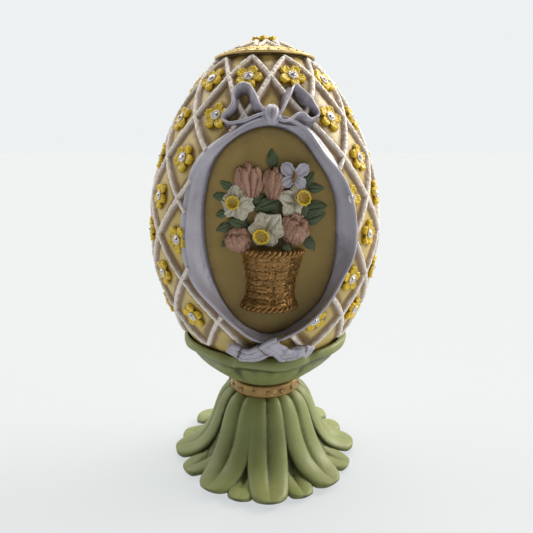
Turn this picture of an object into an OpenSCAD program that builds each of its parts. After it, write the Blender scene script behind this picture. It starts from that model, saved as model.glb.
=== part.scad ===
// A hollow display egg with a flower basket in a framed niche, a lift-off crown cap
// and a loose leaf pedestal. Units are millimetres, +Z is up, the niche faces -Y,
// and the origin is the middle of the felt disc, where it meets the table.

/* [Egg] */
// Largest radius of the smooth shell
egg_r = 51.6; // [50:0.2:53]
// Height of the egg's middle above the table
egg_mid = 120.5; // [120.5:0.1:121]
// Distance from the egg's middle to the crown, and to the bottom
egg_half = 77.7; // [77.2:0.1:78.2]
// Thickness of the shell's wall
wall = 4; // [3:0.5:5]

/* [Niche] */
// Half the width of the oval window
window_w = 31; // [29:0.5:32]
// Half the height of the oval window
window_h = 42.5; // [40:0.5:43.5]
// Height of the window's middle
window_z = 119.5; // [118:0.5:121]
// Distance of the back panel's face from the egg's axis
panel_y = 34.6; // [34:0.1:35.5]
// How far the ribbon round the window stands out from the shell
ribbon_out = 2.2; // [1.6:0.1:2.6]
// Thickness of the ribbon
ribbon_t = 1.6; // [1.2:0.1:2]

/* [Lattice and flowers] */
// Strips that cross the egg each way
strips = 11; // [11]
// Width of a lattice strip
strip_w = 2.6; // [2:0.1:3]
// How far a strip stands out from the shell
strip_out = 1.5; // [1.1:0.1:1.7]
// Radius of a small flower
flower_r = 5.2; // [4.4:0.1:5.4]
// Thickness of a small flower
flower_t = 1.5; // [1.2:0.1:1.7]
// Radius of a crystal
crystal_r = 1.5; // [1.2:0.05:1.6]

/* [Cap] */
// Height of the seam between the shell and the cap
seam_z = 190; // [189:0.5:191]
// Radius of the mouth under the cap
mouth_r = 16; // [14:0.5:16.5]
// Play between the cap's plug and the mouth
cap_play = 0.3; // [0.2:0.05:0.5]
// Outer radius of the gold band
band_r = 21.9; // [21:0.1:22.5]
// Studs round the gold band
band_studs = 28; // [20:2:32]

/* [Pedestal] */
// Radius of the felt disc
felt_r = 33; // [28:1:34]
// Thickness of the felt disc
felt_t = 1.2; // [1:0.1:1.4]
// Radius of the gold collar
collar_r = 17.3; // [16.8:0.1:18]
// Studs round the gold collar
collar_studs = 16; // [12:2:20]
// Gap between the cup's wall and the egg
cup_gap = 1; // [0.9:0.1:1.2]
// Play between the felt pad and the egg above it
pad_play = 0.1; // [0.1:0.05:0.15]
// Thickness of a long leaf
leaf_t = 2.6; // [2:0.1:3]

/* [Hidden] */
$fn = 96;

cream = [0.93, 0.87, 0.62];
white = [0.92, 0.89, 0.86];
yellow = [0.93, 0.77, 0.16];
gold = [0.72, 0.52, 0.22];
lilac = [0.66, 0.65, 0.78];
green = [0.58, 0.65, 0.42];
leaf_green = [0.28, 0.38, 0.22];
pink = [0.8, 0.56, 0.48];
felt = [0.13, 0.24, 0.15];

// A small gap that keeps two neighbouring solids from overlapping
skin = 0.1;
// Lattice levels from the lowest crossing, just over the cup, up to the ends under the gold band
levels = [69.4, 84.5, 101, 118, 133.5, 149.5, 165, 180, 187.5];
// Azimuth between a strip's crossings at two neighbouring levels
step_az = 180 / strips;
rows = len(levels) - 2;

// ---------- The egg's surface ----------

// Radius of the egg at a height, for a surface that lies "out" beyond the shell
function egg_rad(z, out = 0) =
    let (t = max(-1, min(1, (z - egg_mid) / (egg_half + out))))
    (egg_r + out) * sqrt(1 - t * t) * (1 - 0.0666 * t - 0.1209 * t * t) / 1.002;

// Angle of the surface's normal above the horizontal
function egg_tilt(z) = atan2(egg_rad(z - 0.5) - egg_rad(z + 0.5), 1);

// Profile points from one height to another, closer together near the poles
function egg_line(z_low, z_high, out = 0, n = 26) =
    let (
        half = egg_half + out,
        a_low = asin(max(-1, (z_low - egg_mid) / half)),
        a_high = asin(min(1, (z_high - egg_mid) / half))
    )
    [for (i = [0 : n])
        let (z = egg_mid + half * sin(a_low + (a_high - a_low) * i / n))
        [egg_rad(z, out), z]];

// Puts its children on the egg: local +Z points out, and local +Y runs up the surface
module at_egg(az, z, out = 0) {
    r = egg_rad(z, out);
    translate([r * sin(az), -r * cos(az), z])
        rotate([90 - egg_tilt(z), 0, az])
            children();
}

// Solid of revolution under the egg's surface, from the bottom to a height
module egg_solid(out, z_high) {
    rotate_extrude()
        polygon(concat(
            [[0, egg_mid - egg_half - out]],
            egg_line(egg_mid - egg_half - out + 0.02, z_high, out),
            [[0, z_high]]
        ));
}

// ---------- The window ----------

function in_window(az, z, margin) =
    let (x = egg_rad(z) * sin(az))
    cos(az) > 0 && pow(x / (window_w + margin), 2) + pow((z - window_z) / (window_h + margin), 2) < 1;

// Oval prism through the front, grown by a margin, from the front back to a depth
module window_prism(margin, depth) {
    front = 60;
    translate([0, -depth, window_z])
        rotate([90, 0, 0])
            linear_extrude(front - depth)
                polygon([for (a = [0 : 7.5 : 352.5])
                    [(window_w + margin) * cos(a), (window_h + margin) * sin(a)]]);
}

// Puts its children on the back panel: local +Z points out of the niche
module at_panel(x, z, lift = 0) {
    translate([x, -panel_y - lift, z]) rotate([90, 0, 0]) children();
}

// ---------- Shapes that repeat ----------

// Flat rosette with round petals
module rosette(r, petals, notch, t) {
    linear_extrude(t)
        polygon([for (a = [0 : 12 : 348])
            r * (1 - notch + notch * abs(cos(a * petals / 2))) * [cos(a), sin(a)]]);
}

// Flat pointed leaf along local +X
module flat_leaf(length, width, t) {
    linear_extrude(t)
        polygon(concat(
            [for (a = [0 : 20 : 180]) [length / 2 * (1 - cos(a)), width / 2 * sin(a)]],
            [for (a = [160 : -20 : 20]) [length / 2 * (1 - cos(a)), -width / 2 * sin(a)]]
        ));
}

// Band of ribbon that stands on the egg along a list of [azimuth, height]
module standing_band(route, height) {
    for (i = [0 : len(route) - 2])
        hull()
            for (p = [route[i], route[i + 1]])
                at_egg(p[0], p[1], skin) cylinder(r = ribbon_t / 2, h = height, $fn = 6);
}

// Strip of ribbon that lies on the egg along a list of [azimuth, height]
module lying_band(route, width, height) {
    for (i = [0 : len(route) - 2])
        hull()
            for (p = [route[i], route[i + 1]])
                at_egg(p[0], p[1], 0.2) cylinder(d = width, h = height, $fn = 8);
}

// Ring of studs round the axis that lean by a tilt above the horizontal
module stud_ring(count, r, z, tilt, stud_r) {
    for (i = [0 : count - 1])
        rotate([0, 0, i * 360 / count])
            translate([0, -r, z]) rotate([90 - tilt, 0, 0]) cylinder(r = stud_r, h = 0.8, $fn = 24);
}

// ---------- Pedestal ----------

// Long leaf from the collar to the table: radius, height and width at each station
long_stations = [
    [15.6, 35.4, 6], [20.2, 33.6, 9.5], [22.8, 29.5, 12], [24.6, 23.5, 14], [26.8, 17.2, 16],
    [30.2, 11, 17], [35.6, 6.2, 16.5], [41.6, 3.4, 12.5], [44.6, 2.6, 6]
];
// Short leaf that shows between two long ones
under_stations = [[25, 16.5, 9], [28.6, 10.2, 13], [34, 5.4, 15], [41, 2.6, 13], [44.6, 2, 6]];

// One cross-section of a leaf, square to its route
module leaf_slice(stations, i, t) {
    before = stations[max(0, i - 1)];
    after = stations[min(len(stations) - 1, i + 1)];
    half = stations[i][2] / 2;
    translate([0, -stations[i][0], stations[i][1]])
        rotate([atan2(after[1] - before[1], before[0] - after[0]), 0, 0])
            rotate([90, 0, 0])
                linear_extrude(0.3, center = true)
                    polygon([
                        [-half, t / 2], [half, t / 2], [0.95 * half, 0],
                        [half / 2, -t / 2], [-half / 2, -t / 2], [-0.95 * half, 0]
                    ]);
}

module leaf_along(stations, t) {
    for (i = [0 : len(stations) - 2])
        hull() {
            leaf_slice(stations, i, t);
            leaf_slice(stations, i + 1, t);
        }
}

module base_felt() {
    color(felt) cylinder(r = felt_r, h = felt_t);
}

module skirt_core() {
    color(green)
        rotate_extrude()
            polygon([
                [0, felt_t], [felt_r + 2, felt_t], [felt_r + 3, 3], [30, 7], [26.4, 13], [24, 20],
                [22, 27], [19, 33], [14, 36], [13.5, 36.4], [13.5, 40.8], [0, 40.8]
            ]);
}

module long_leaves() {
    color(green)
        for (az = [0 : 45 : 315])
            rotate([0, 0, az]) leaf_along(long_stations, leaf_t);
}

module under_leaves() {
    color(green)
        for (az = [22.5 : 45 : 337.5])
            rotate([0, 0, az]) leaf_along(under_stations, leaf_t - 0.2);
}

module collar_ring() {
    color(gold)
        rotate_extrude()
            polygon([
                [13.6, 36.6], [collar_r - 0.4, 36.6], [collar_r, 37.2], [collar_r, 41.9],
                [collar_r - 0.4, 42.5], [15.4, 42.5], [13.6, 41.4]
            ]);
}

module collar_stud_set() {
    color(gold) stud_ring(collar_studs, collar_r + 0.02, 39.6, 0, 0.8);
}

module cup_bowl() {
    // Outside of the bowl from the collar up to the rim
    outside = [
        [13.4, 40.85], [13.4, 41.28], [17.2, 43.6], [22.6, 46.3], [28, 50.4], [32.2, 54.6],
        [35.3, 58.7], [37.2, 62.5], [38.2, 65]
    ];
    inside = egg_line(0, 65, cup_gap, 14);
    color(green)
        rotate_extrude()
            polygon(concat(
                [[0, 40.85]], outside,
                [for (i = [len(inside) - 1 : -1 : 1]) inside[i]],
                [[0, egg_mid - egg_half - cup_gap]]
            ));
}

// Wavy rim of the cup: its lobes end below the lattice and the ribbon's tails
module cup_rim() {
    low = 65.1;
    thick = 1.7;
    turns = [0 : 5 : 355];
    count = 72;
    rise = [for (az = turns) 0.7 + 0.6 * (1 - cos(3 * az))];
    function ring_point(az, r, z) = [r * sin(az), -r * cos(az), z];
    points = [for (i = [0 : count - 1])
        let (az = 5 * i, top = low + rise[i])
        each [
            ring_point(az, egg_rad(low, cup_gap), low),
            ring_point(az, egg_rad(low, cup_gap) + thick, low),
            ring_point(az, egg_rad(top, cup_gap) + thick, top),
            ring_point(az, egg_rad(top, cup_gap), top)
        ]];
    function side(i, a, b) =
        let (j = (i + 1) % count)
        [[4 * i + a, 4 * j + a, 4 * j + b], [4 * i + a, 4 * j + b, 4 * i + b]];
    color(green)
        polyhedron(points, [for (i = [0 : count - 1]) each concat(
            side(i, 0, 1), side(i, 1, 2), side(i, 2, 3), side(i, 3, 0)
        )]);
}

// ---------- Felt pad that the egg rests on ----------

module cup_pad() {
    // The pad is a shallow dish with a hole in the middle
    top = egg_line(44, 50, pad_play, 6);
    bottom = egg_line(44, 50, cup_gap - skin, 6);
    color(felt)
        rotate_extrude()
            polygon(concat(bottom, [for (i = [6 : -1 : 0]) top[i]]));
}

// ---------- Egg ----------

module egg_shell() {
    color(cream)
        difference() {
            egg_solid(0, seam_z);
            egg_solid(-wall, seam_z - 2);
            translate([0, 0, seam_z - 6]) cylinder(r = mouth_r, h = 10);
            window_prism(0, panel_y - 4);
        }
}

module niche_tray() {
    back = 3.4;
    rim = 3;
    color(cream)
        difference() {
            intersection() {
                egg_solid(-wall - skin, seam_z - 10);
                window_prism(rim, panel_y - back);
            }
            window_prism(0, panel_y);
        }
}

// The lattice is laid by hand: it drifts round the egg on its way down, and opens out right of the window
drift = 0.7;
opening = 3.4;
opening_az = 30;
opening_span = 14;
function laid_az(az, level) =
    let (signed = (az + 900) % 360 - 180)
    az + drift * (len(levels) - 2 - level) + opening * exp(-pow((signed - opening_az) / opening_span, 2));

// Crossing points of a strip: "hand" is 1 or -1, and level 0 is the lowest
function strip_az(start, hand, level) = laid_az(start + hand * step_az * (len(levels) - 1 - level), level);

// All strips of one hand: 1 turns one way as it climbs, and -1 the other way
module lattice_hand(hand) {
    ribbon_margin = 3;
    embed = 0.8;
    color(white)
        for (k = [0 : strips - 1], level = [0 : len(levels) - 2]) {
            start = step_az + 2 * step_az * k;
            a = strip_az(start, hand, level);
            b = strip_az(start, hand, level + 1);
            low = levels[level];
            high = levels[level + 1];
            if (!in_window((a + b) / 2, (low + high) / 2, ribbon_margin))
                hull() {
                    at_egg(a, low, -embed) strip_post(embed);
                    at_egg(b, high, -embed) strip_post(embed);
                }
        }
}

module strip_post(embed) {
    translate([0, 0, (strip_out + embed) / 2])
        cube([0.85 * strip_w, 0.85 * strip_w, strip_out + embed], center = true);
}

// Flowers of a row sit between its crossings: row 1 is the top one
under_ribbon = -1.5;
knot_row = 2;
function row_level(row) = len(levels) - 1 - row;
function row_azimuths(row) =
    let (level = row_level(row))
    [for (k = [0 : strips - 1])
        let (az = laid_az(2 * step_az * k + step_az * (level % 2), level))
        if (!in_window(az, levels[level], under_ribbon) && !(row == knot_row && abs(az) < step_az)) az];

// How far the ribbon reaches past the window's edge
flange = 2.6;
// Height of a flower's underside above the shell: its middle clears the shell's curve
flower_lift = 0.3;

// A flower beside the window runs under the ribbon and ends at its edge
module flower_row(row) {
    z = levels[row_level(row)];
    color(yellow)
        difference() {
            for (az = row_azimuths(row))
                at_egg(az, z, flower_lift) rosette(flower_r, 5, 0.3, flower_t);
            window_prism(flange + skin, panel_y);
        }
}

module crystals() {
    glue = 0.02;
    crystal_h = 0.8;
    color("white")
        for (row = [1 : rows], az = row_azimuths(row))
            at_egg(az, levels[row_level(row)], flower_lift)
                translate([0, 0, flower_t + glue])
                    cylinder(r = crystal_r, h = crystal_h, $fn = 8);
}

module ribbon_frame() {
    color(lilac)
        intersection() {
            egg_solid(ribbon_out, seam_z - 10);
            difference() {
                union() {
                    difference() {
                        window_prism(flange, panel_y - 4);
                        egg_solid(skin, seam_z - 10);
                    }
                    window_prism(-skin, panel_y + skin);
                }
                window_prism(-ribbon_t, panel_y - 5);
            }
        }
}

// The ribbon's two ends cross under the window
left_tail = [[0, 75.4], [-6, 73.2], [-12.5, 70.8], [-18.5, 72.4], [-23.5, 74]];
right_tail = [[1, 75], [4.5, 73], [9, 71.4], [17, 72], [23, 71]];

module ribbon_tail_left() {
    color(lilac) lying_band(left_tail, 5, 1.6);
}

module ribbon_tail_right() {
    color(lilac) lying_band(right_tail, 5, 1.4);
}

// The two loops of the bow stand on edge round a hollow
left_loop = [
    [-3, 164.6], [-9, 164], [-17, 163.2], [-26.5, 164.8], [-23.5, 169.2], [-21.3, 174], [-17.8, 177.6],
    [-13, 176.6], [-9.6, 172.5], [-6, 168], [-3, 165.8]
];
right_loop = [
    [3, 165.8], [4.6, 168], [8, 172], [11.5, 175.4], [15.6, 177], [20.6, 173], [24.4, 170], [25.4, 167],
    [18, 164.2], [11, 164.8], [6, 163.2], [3, 164.2]
];

module bow_loop_left() {
    color(lilac) standing_band(left_loop, 4.6);
}

module bow_loop_right() {
    color(lilac) standing_band(right_loop, 4.6);
}

module bow_knot() {
    color(lilac)
        hull() {
            at_egg(0, 162.4, 2.3) cylinder(r = 2.4, h = 2.4, $fn = 16);
            at_egg(0, 165, 1.2) cylinder(r = 2.8, h = 4, $fn = 16);
        }
}

// ---------- Basket and bouquet in the niche ----------

// The basket leans a little, and its axis lies behind the panel's face
module basket_turned() {
    lean = 3.5;
    axis_back = 4.1;
    intersection() {
        translate([-0.2, -panel_y + axis_back, 100]) rotate([0, lean, 0]) translate([0, 0, -100])
            rotate_extrude($fn = 64) children();
        translate([-40, -panel_y - skin - 20, 80]) cube([80, 20, 40]);
    }
}

module basket() {
    color(gold)
        basket_turned()
            polygon([
                [0, 87.4], [12, 87.4], [11.8, 89.8], [11, 94], [10.9, 99], [11.4, 104], [12.2, 108], [12.3, 111], [0, 111]
            ]);
}

module basket_rim() {
    color(gold) basket_turned() translate([12.1, 112.2]) circle(r = 1.15, $fn = 32);
}

module basket_foot() {
    color(gold) basket_turned() translate([12.4, 86.2]) circle(r = 1.15, $fn = 32);
}

// Leaves of the bouquet: [x, z] of the stalk's end, direction, length and width
leaf_list = [
    [-0.5, 145.4, 85, 8, 4], [-15, 136, 140, 8, 4], [-16, 131, 165, 8, 4.5], [-15, 126, 180, 9, 5],
    [-15, 122, 190, 9, 4.5], [-15, 118, 215, 9, 4.5], [12, 138, 65, 8, 4], [12, 135, 25, 8, 4.5],
    [12, 128, 0, 9, 6], [13, 123, -10, 9, 5], [13, 119, -50, 8, 4.5]
];

module bouquet_leaves() {
    color(leaf_green) {
        for (l = leaf_list)
            at_panel(l[0], l[1], skin) rotate([0, 0, l[2]]) flat_leaf(l[3], l[4], 1.2);
        at_panel(-8, 128.5, skin) rotate([0, 0, 15]) flat_leaf(14, 7, 1.2);
    }
}

bloom_lift = 1.5;

// Keeps the part of a bloom that stands in front of the leaves
module front_half() {
    intersection() {
        children();
        translate([-20, -20, 0]) cube([40, 40, 20]);
    }
}

// Tulip that stands upright against the panel, narrower at its foot
module tulip(width, height) {
    front_half()
        translate([0, -height / 2, 0])
            rotate([-90, 0, 0])
                rotate_extrude($fn = 48)
                    polygon([
                        [0, 0], [width * 0.25, 0.3], [width * 0.42, height * 0.22],
                        [width * 0.48, height * 0.5], [width * 0.5, height], [0, height * 0.9]
                    ]);
}

module rose(width) {
    sink = width * 0.22;
    front_half() translate([0, 0, -sink]) sphere(r = width / 2, $fn = 64);
}

module tulip_left() {
    color(pink) at_panel(-9, 140.6, bloom_lift) rotate([0, 0, 8]) tulip(11.5, 13);
}

module tulip_right() {
    color(pink) at_panel(0.9, 139.4, bloom_lift) rotate([0, 0, -6]) tulip(7.8, 12);
}

module rose_left() {
    color(pink) at_panel(-14.2, 116.8, bloom_lift) rose(9);
}

module rose_right() {
    color(pink) at_panel(9.4, 121.4, bloom_lift) rose(12);
}

module daffodil_petals(x, z, r, turn) {
    color("ivory") at_panel(x, z, bloom_lift) rotate([0, 0, turn]) rosette(r, 6, 0.35, 1.4);
}

module daffodil_left() {
    daffodil_petals(-13.6, 131.4, 6, 15);
}

module daffodil_right() {
    daffodil_petals(9.6, 132.2, 6.4, 40);
}

module daffodil_front() {
    daffodil_petals(-2.2, 121.4, 6.6, 0);
}

module daffodil_cups() {
    cup_lift = bloom_lift + 1.42;
    color(yellow)
        for (c = [[-15.2, 131.8], [12, 133.4], [-4, 119.6]])
            at_panel(c[0], c[1], cup_lift) cylinder(r = 2.1, h = 2.2, $fn = 32);
}

// The butterfly rests on the blooms
wing_lift = 3.2;
wing_t = 0.9;

module butterfly_wings() {
    color(lilac)
        at_panel(8.6, 142.2, wing_lift)
            for (side = [0, 180], wing = [[25, 6.6, 4.4], [-35, 5.6, 4]])
                rotate([0, side, 0]) translate([0.5, 0, side == 0 ? 0 : -wing_t])
                    rotate([0, 0, wing[0]]) flat_leaf(wing[1], wing[2], wing_t);
}

module butterfly_body() {
    color(gold)
        at_panel(8.6, 142.2, wing_lift + wing_t + 0.05)
            translate([-0.5, -2.6, 0]) cube([1, 5.2, 1]);
}

// ---------- Cap ----------

cap_low = seam_z + 0.3;

module cap_dome() {
    crown = egg_mid + egg_half;
    dome = egg_line(cap_low, crown - 0.02, 0, 10);
    color(cream)
        rotate_extrude()
            polygon(concat(
                [[0, seam_z - 5], [mouth_r - cap_play - 0.5, seam_z - 5], [mouth_r - cap_play, seam_z - 4.5],
                 [mouth_r - cap_play, cap_low]],
                dome,
                [[0, crown]]
            ));
}

module cap_band() {
    band_top = seam_z + 3.2;
    inner = egg_line(cap_low, band_top, skin, 4);
    color(gold)
        rotate_extrude()
            polygon(concat(
                inner,
                [[egg_rad(band_top, 1.3), band_top], [band_r, cap_low + 0.9], [band_r, cap_low]]
            ));
}

module cap_stud_set() {
    color(gold) stud_ring(band_studs, 19.5, seam_z + 2.1, 66, 0.5);
}

// Bars of the cap that lean one way, from the band up to the flower
module cap_lattice_hand(hand) {
    peak_z = 196.5;
    foot_z = 194.2;
    embed = 0.3;
    color(white)
        for (k = [0 : strips - 1])
            hull() {
                at_egg(2 * step_az * k + 2 * hand, peak_z, -embed) strip_post(embed);
                at_egg(2 * step_az * k + hand * (step_az - 2), foot_z, -embed) strip_post(embed);
            }
}

module cap_flower() {
    color(yellow)
        translate([0, 0, egg_mid + egg_half + skin]) rosette(6.2, 6, 0.3, 1.6);
}

base_felt();
skirt_core();
long_leaves();
under_leaves();
collar_ring();
collar_stud_set();  // collar_studs
cup_bowl();
cup_rim();
cup_pad();
egg_shell();
niche_tray();
lattice_hand(-1);  // lattice_east
lattice_hand(1);  // lattice_west
flower_row(1);  // flowers_row_1
flower_row(2);  // flowers_row_2
flower_row(3);  // flowers_row_3
flower_row(4);  // flowers_row_4
flower_row(5);  // flowers_row_5
flower_row(6);  // flowers_row_6
flower_row(7);  // flowers_row_7
crystals();
ribbon_frame();
ribbon_tail_left();
ribbon_tail_right();
bow_loop_left();
bow_loop_right();
bow_knot();
basket();
basket_rim();
basket_foot();
bouquet_leaves();
tulip_left();
tulip_right();
rose_left();
rose_right();
daffodil_left();
daffodil_right();
daffodil_front();
daffodil_cups();
butterfly_wings();
butterfly_body();
cap_dome();
cap_band();
cap_stud_set();  // cap_studs
cap_lattice_hand(-1);  // cap_lattice_east
cap_lattice_hand(1);  // cap_lattice_west
cap_flower();
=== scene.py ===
import random
from math import asin, atan2, cos, degrees, exp, floor, hypot, pi, radians, sin, sqrt

import bmesh
import bpy
import numpy as np
from mathutils import Euler, Matrix, Vector, noise


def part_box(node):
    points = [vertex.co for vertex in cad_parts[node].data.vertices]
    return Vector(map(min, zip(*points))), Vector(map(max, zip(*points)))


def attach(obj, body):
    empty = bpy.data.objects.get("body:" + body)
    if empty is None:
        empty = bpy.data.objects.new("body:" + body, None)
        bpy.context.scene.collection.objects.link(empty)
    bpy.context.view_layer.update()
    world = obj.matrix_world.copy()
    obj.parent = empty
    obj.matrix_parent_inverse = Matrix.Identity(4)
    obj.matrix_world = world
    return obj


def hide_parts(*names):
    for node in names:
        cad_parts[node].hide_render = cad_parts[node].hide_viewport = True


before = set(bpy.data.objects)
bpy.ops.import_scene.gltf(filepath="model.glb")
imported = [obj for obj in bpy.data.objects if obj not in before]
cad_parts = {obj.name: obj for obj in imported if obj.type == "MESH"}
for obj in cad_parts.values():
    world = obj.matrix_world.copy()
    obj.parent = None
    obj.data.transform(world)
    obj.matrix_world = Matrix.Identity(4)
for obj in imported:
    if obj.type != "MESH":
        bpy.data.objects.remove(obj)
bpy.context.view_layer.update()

# Lengths below are millimetres; a piece's mesh is scaled to metres when it is made.
MM = 0.001

# ---------- sizes from the frame

shell_low, shell_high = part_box("egg_shell")
SEAM_Z = shell_high.z / MM
EGG_MID = 120.5
EGG_HALF = EGG_MID - shell_low.z / MM
EGG_R = shell_high.x / MM
CROWN_Z = EGG_MID + EGG_HALF
PANEL_Y = 34.6
WINDOW_Z = 119.5
WINDOW_W = 31.0
WINDOW_H = 42.5
LEVELS = [69.4, 84.5, 101, 118, 133.5, 149.5, 165, 180, 188.2]
STRIPS = 11
STEP_AZ = 180 / STRIPS
ROWS = 7


# ---------- the egg's surface


def rad(z, out=0.0):
    """Radius of the egg at height z, for a surface that lies out beyond the shell."""
    t = max(-1.0, min(1.0, (z - EGG_MID) / (EGG_HALF + out)))
    return (EGG_R + out) * sqrt(1 - t * t) * (1 - 0.0666 * t - 0.1209 * t * t) / 1.002


def egg_frame(az, z):
    """Point on the shell, and unit vectors to the east, up the surface and outwards."""
    a = radians(az)
    tilt = atan2(rad(z - 0.5) - rad(z + 0.5), 1)
    out = Vector((sin(a) * cos(tilt), -cos(a) * cos(tilt), sin(tilt)))
    east = Vector((cos(a), sin(a), 0))
    return round_axis(rad(z), a, z), east, out.cross(east), out


def on_egg(az, z, height=0.0):
    point, _, _, out = egg_frame(az, z)
    return point + out * height


def smooth_through(knots, t, closed=False):
    """Catmull-Rom curve through a list of equal-length tuples; t runs from 0 to 1."""
    n = len(knots)
    spans = n if closed else n - 1
    x = (t % 1.0 if closed else min(max(t, 0.0), 1.0)) * spans
    i = min(int(x), spans - 1)
    u = x - i

    def knot(j):
        return knots[j % n] if closed else knots[min(max(j, 0), n - 1)]

    p0, p1, p2, p3 = knot(i - 1), knot(i), knot(i + 1), knot(i + 2)
    return tuple(
        0.5 * (2 * b + (c - a) * u + (2 * a - 5 * b + 4 * c - d) * u * u + (3 * b - a - 3 * c + d) * u ** 3)
        for a, b, c, d in zip(p0, p1, p2, p3)
    )


def wobble(x, y=0.0, z=0.0):
    """Smooth noise between about -1 and 1, the same on every run."""
    return noise.noise(Vector((x, y, z)))


def clamp(x, low=0.0, high=1.0):
    return max(low, min(high, x))


def bell(x, width):
    """1 where x is 0, falling off smoothly within a few widths."""
    return exp(-((x / width) ** 2))


def signed(angle):
    """The same angle in degrees, between -180 and 180."""
    return (angle + 180) % 360 - 180


def turns(n):
    """Angles of n equal steps round a circle."""
    return [2 * pi * k / n for k in range(n)]


def round_axis(r, a, z):
    """Point at an angle round the egg's axis, which is 0 at the front."""
    return Vector((r * sin(a), -r * cos(a), z))


# ---------- building meshes


class Form:
    """Vertices in millimetres, faces, and a darkening value at each vertex: 0 is clean paint, 1 is the dark
    wash colour, which stands both for the antique wash in hollows and for painted shade.
    """

    def __init__(self):
        self.verts, self.faces, self.wash_and_shade = [], [], []

    def tube(self, rings, loop=False):
        """Closed solid through rings of (point, darkening), capped at both ends unless it loops."""
        base, n, count = len(self.verts), len(rings[0]), len(rings)
        for ring in rings:
            self.verts += [tuple(point) for point, _ in ring]
            self.wash_and_shade += [wash_and_shade for _, wash_and_shade in ring]
        for i in range(count if loop else count - 1):
            a, b = base + i * n, base + (i + 1) % count * n
            for k in range(n):
                m = (k + 1) % n
                self.faces.append((a + k, a + m, b + m, b + k))
        if not loop:
            last = base + (count - 1) * n
            self.faces.append(tuple(base + k for k in range(n))[::-1])
            self.faces.append(tuple(last + k for k in range(n)))

    def slab(self, points, thickness, wash_and_shade, wrap=False):
        """Sheet with a back: a grid of points, thickened against its normals."""
        points = np.asarray(points, float)
        nu, nv, _ = points.shape
        du = np.gradient(points, axis=0)
        dv = (np.roll(points, -1, 1) - np.roll(points, 1, 1)) if wrap else np.gradient(points, axis=1)
        normal = np.cross(du, dv)
        normal /= np.maximum(np.linalg.norm(normal, axis=2, keepdims=True), 1e-9)
        back = points - normal * np.broadcast_to(np.asarray(thickness, float), (nu, nv))[..., None]
        wash_and_shade = np.broadcast_to(np.asarray(wash_and_shade, float), (nu, nv))
        base = len(self.verts)
        self.verts += [tuple(p) for p in points.reshape(-1, 3)] + [tuple(p) for p in back.reshape(-1, 3)]
        self.wash_and_shade += list(wash_and_shade.reshape(-1)) * 2

        def quad(*corners):
            self.faces.append(tuple(base + (side * nu + i) * nv + j % nv for i, j, side in corners))

        columns = nv if wrap else nv - 1
        for i in range(nu - 1):
            for j in range(columns):
                quad((i, j, 0), (i + 1, j, 0), (i + 1, j + 1, 0), (i, j + 1, 0))
                quad((i, j, 1), (i, j + 1, 1), (i + 1, j + 1, 1), (i + 1, j, 1))
        for j in range(columns):
            quad((0, j, 0), (0, j + 1, 0), (0, j + 1, 1), (0, j, 1))
            quad((nu - 1, j, 0), (nu - 1, j, 1), (nu - 1, j + 1, 1), (nu - 1, j + 1, 0))
        if not wrap:
            for i in range(nu - 1):
                quad((i, 0, 0), (i, 0, 1), (i + 1, 0, 1), (i + 1, 0, 0))
                quad((i, nv - 1, 0), (i + 1, nv - 1, 0), (i + 1, nv - 1, 1), (i, nv - 1, 1))

    def add(self, other, place):
        """Another form, moved by a matrix."""
        base = len(self.verts)
        self.verts += [tuple(place @ Vector(p)) for p in other.verts]
        self.faces += [tuple(base + k for k in f) for f in other.faces]
        self.wash_and_shade += other.wash_and_shade

    def ball(self, centre, radius, rings=8, segments=16, wash_and_shade=0.0, squash=1.0):
        """Small rounded solid; squash flattens it."""
        circles = []
        for i in range(rings):
            phi = pi * (i + 0.5) / rings
            r, z = radius * sin(phi), squash * radius * cos(phi)
            circles.append([(Vector(centre) + Vector((r * cos(a), r * sin(a), z)), wash_and_shade)
                            for a in turns(segments)])
        self.tube(circles)


def piece(name, form, material, body, nodes=(), flat=False):
    """Object from a form: it rides on a body and stands for the CAD nodes named."""
    mesh = bpy.data.meshes.new(name)
    mesh.from_pydata([(x * MM, y * MM, z * MM) for x, y, z in form.verts], [], form.faces)
    bm = bmesh.new()
    bm.from_mesh(mesh)
    bmesh.ops.recalc_face_normals(bm, faces=bm.faces)
    bm.to_mesh(mesh)
    bm.free()
    layer = mesh.attributes.new("wash_and_shade", "FLOAT", "POINT")
    layer.data.foreach_set("value", np.clip(np.asarray(form.wash_and_shade, np.float32), 0, 1))
    mesh.polygons.foreach_set("use_smooth", [not flat] * len(mesh.polygons))
    mesh.materials.append(material)
    obj = bpy.data.objects.new(name, mesh)
    bpy.context.scene.collection.objects.link(obj)
    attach(obj, body)
    if nodes:
        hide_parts(*nodes)
    return obj


# ---------- materials


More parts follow.
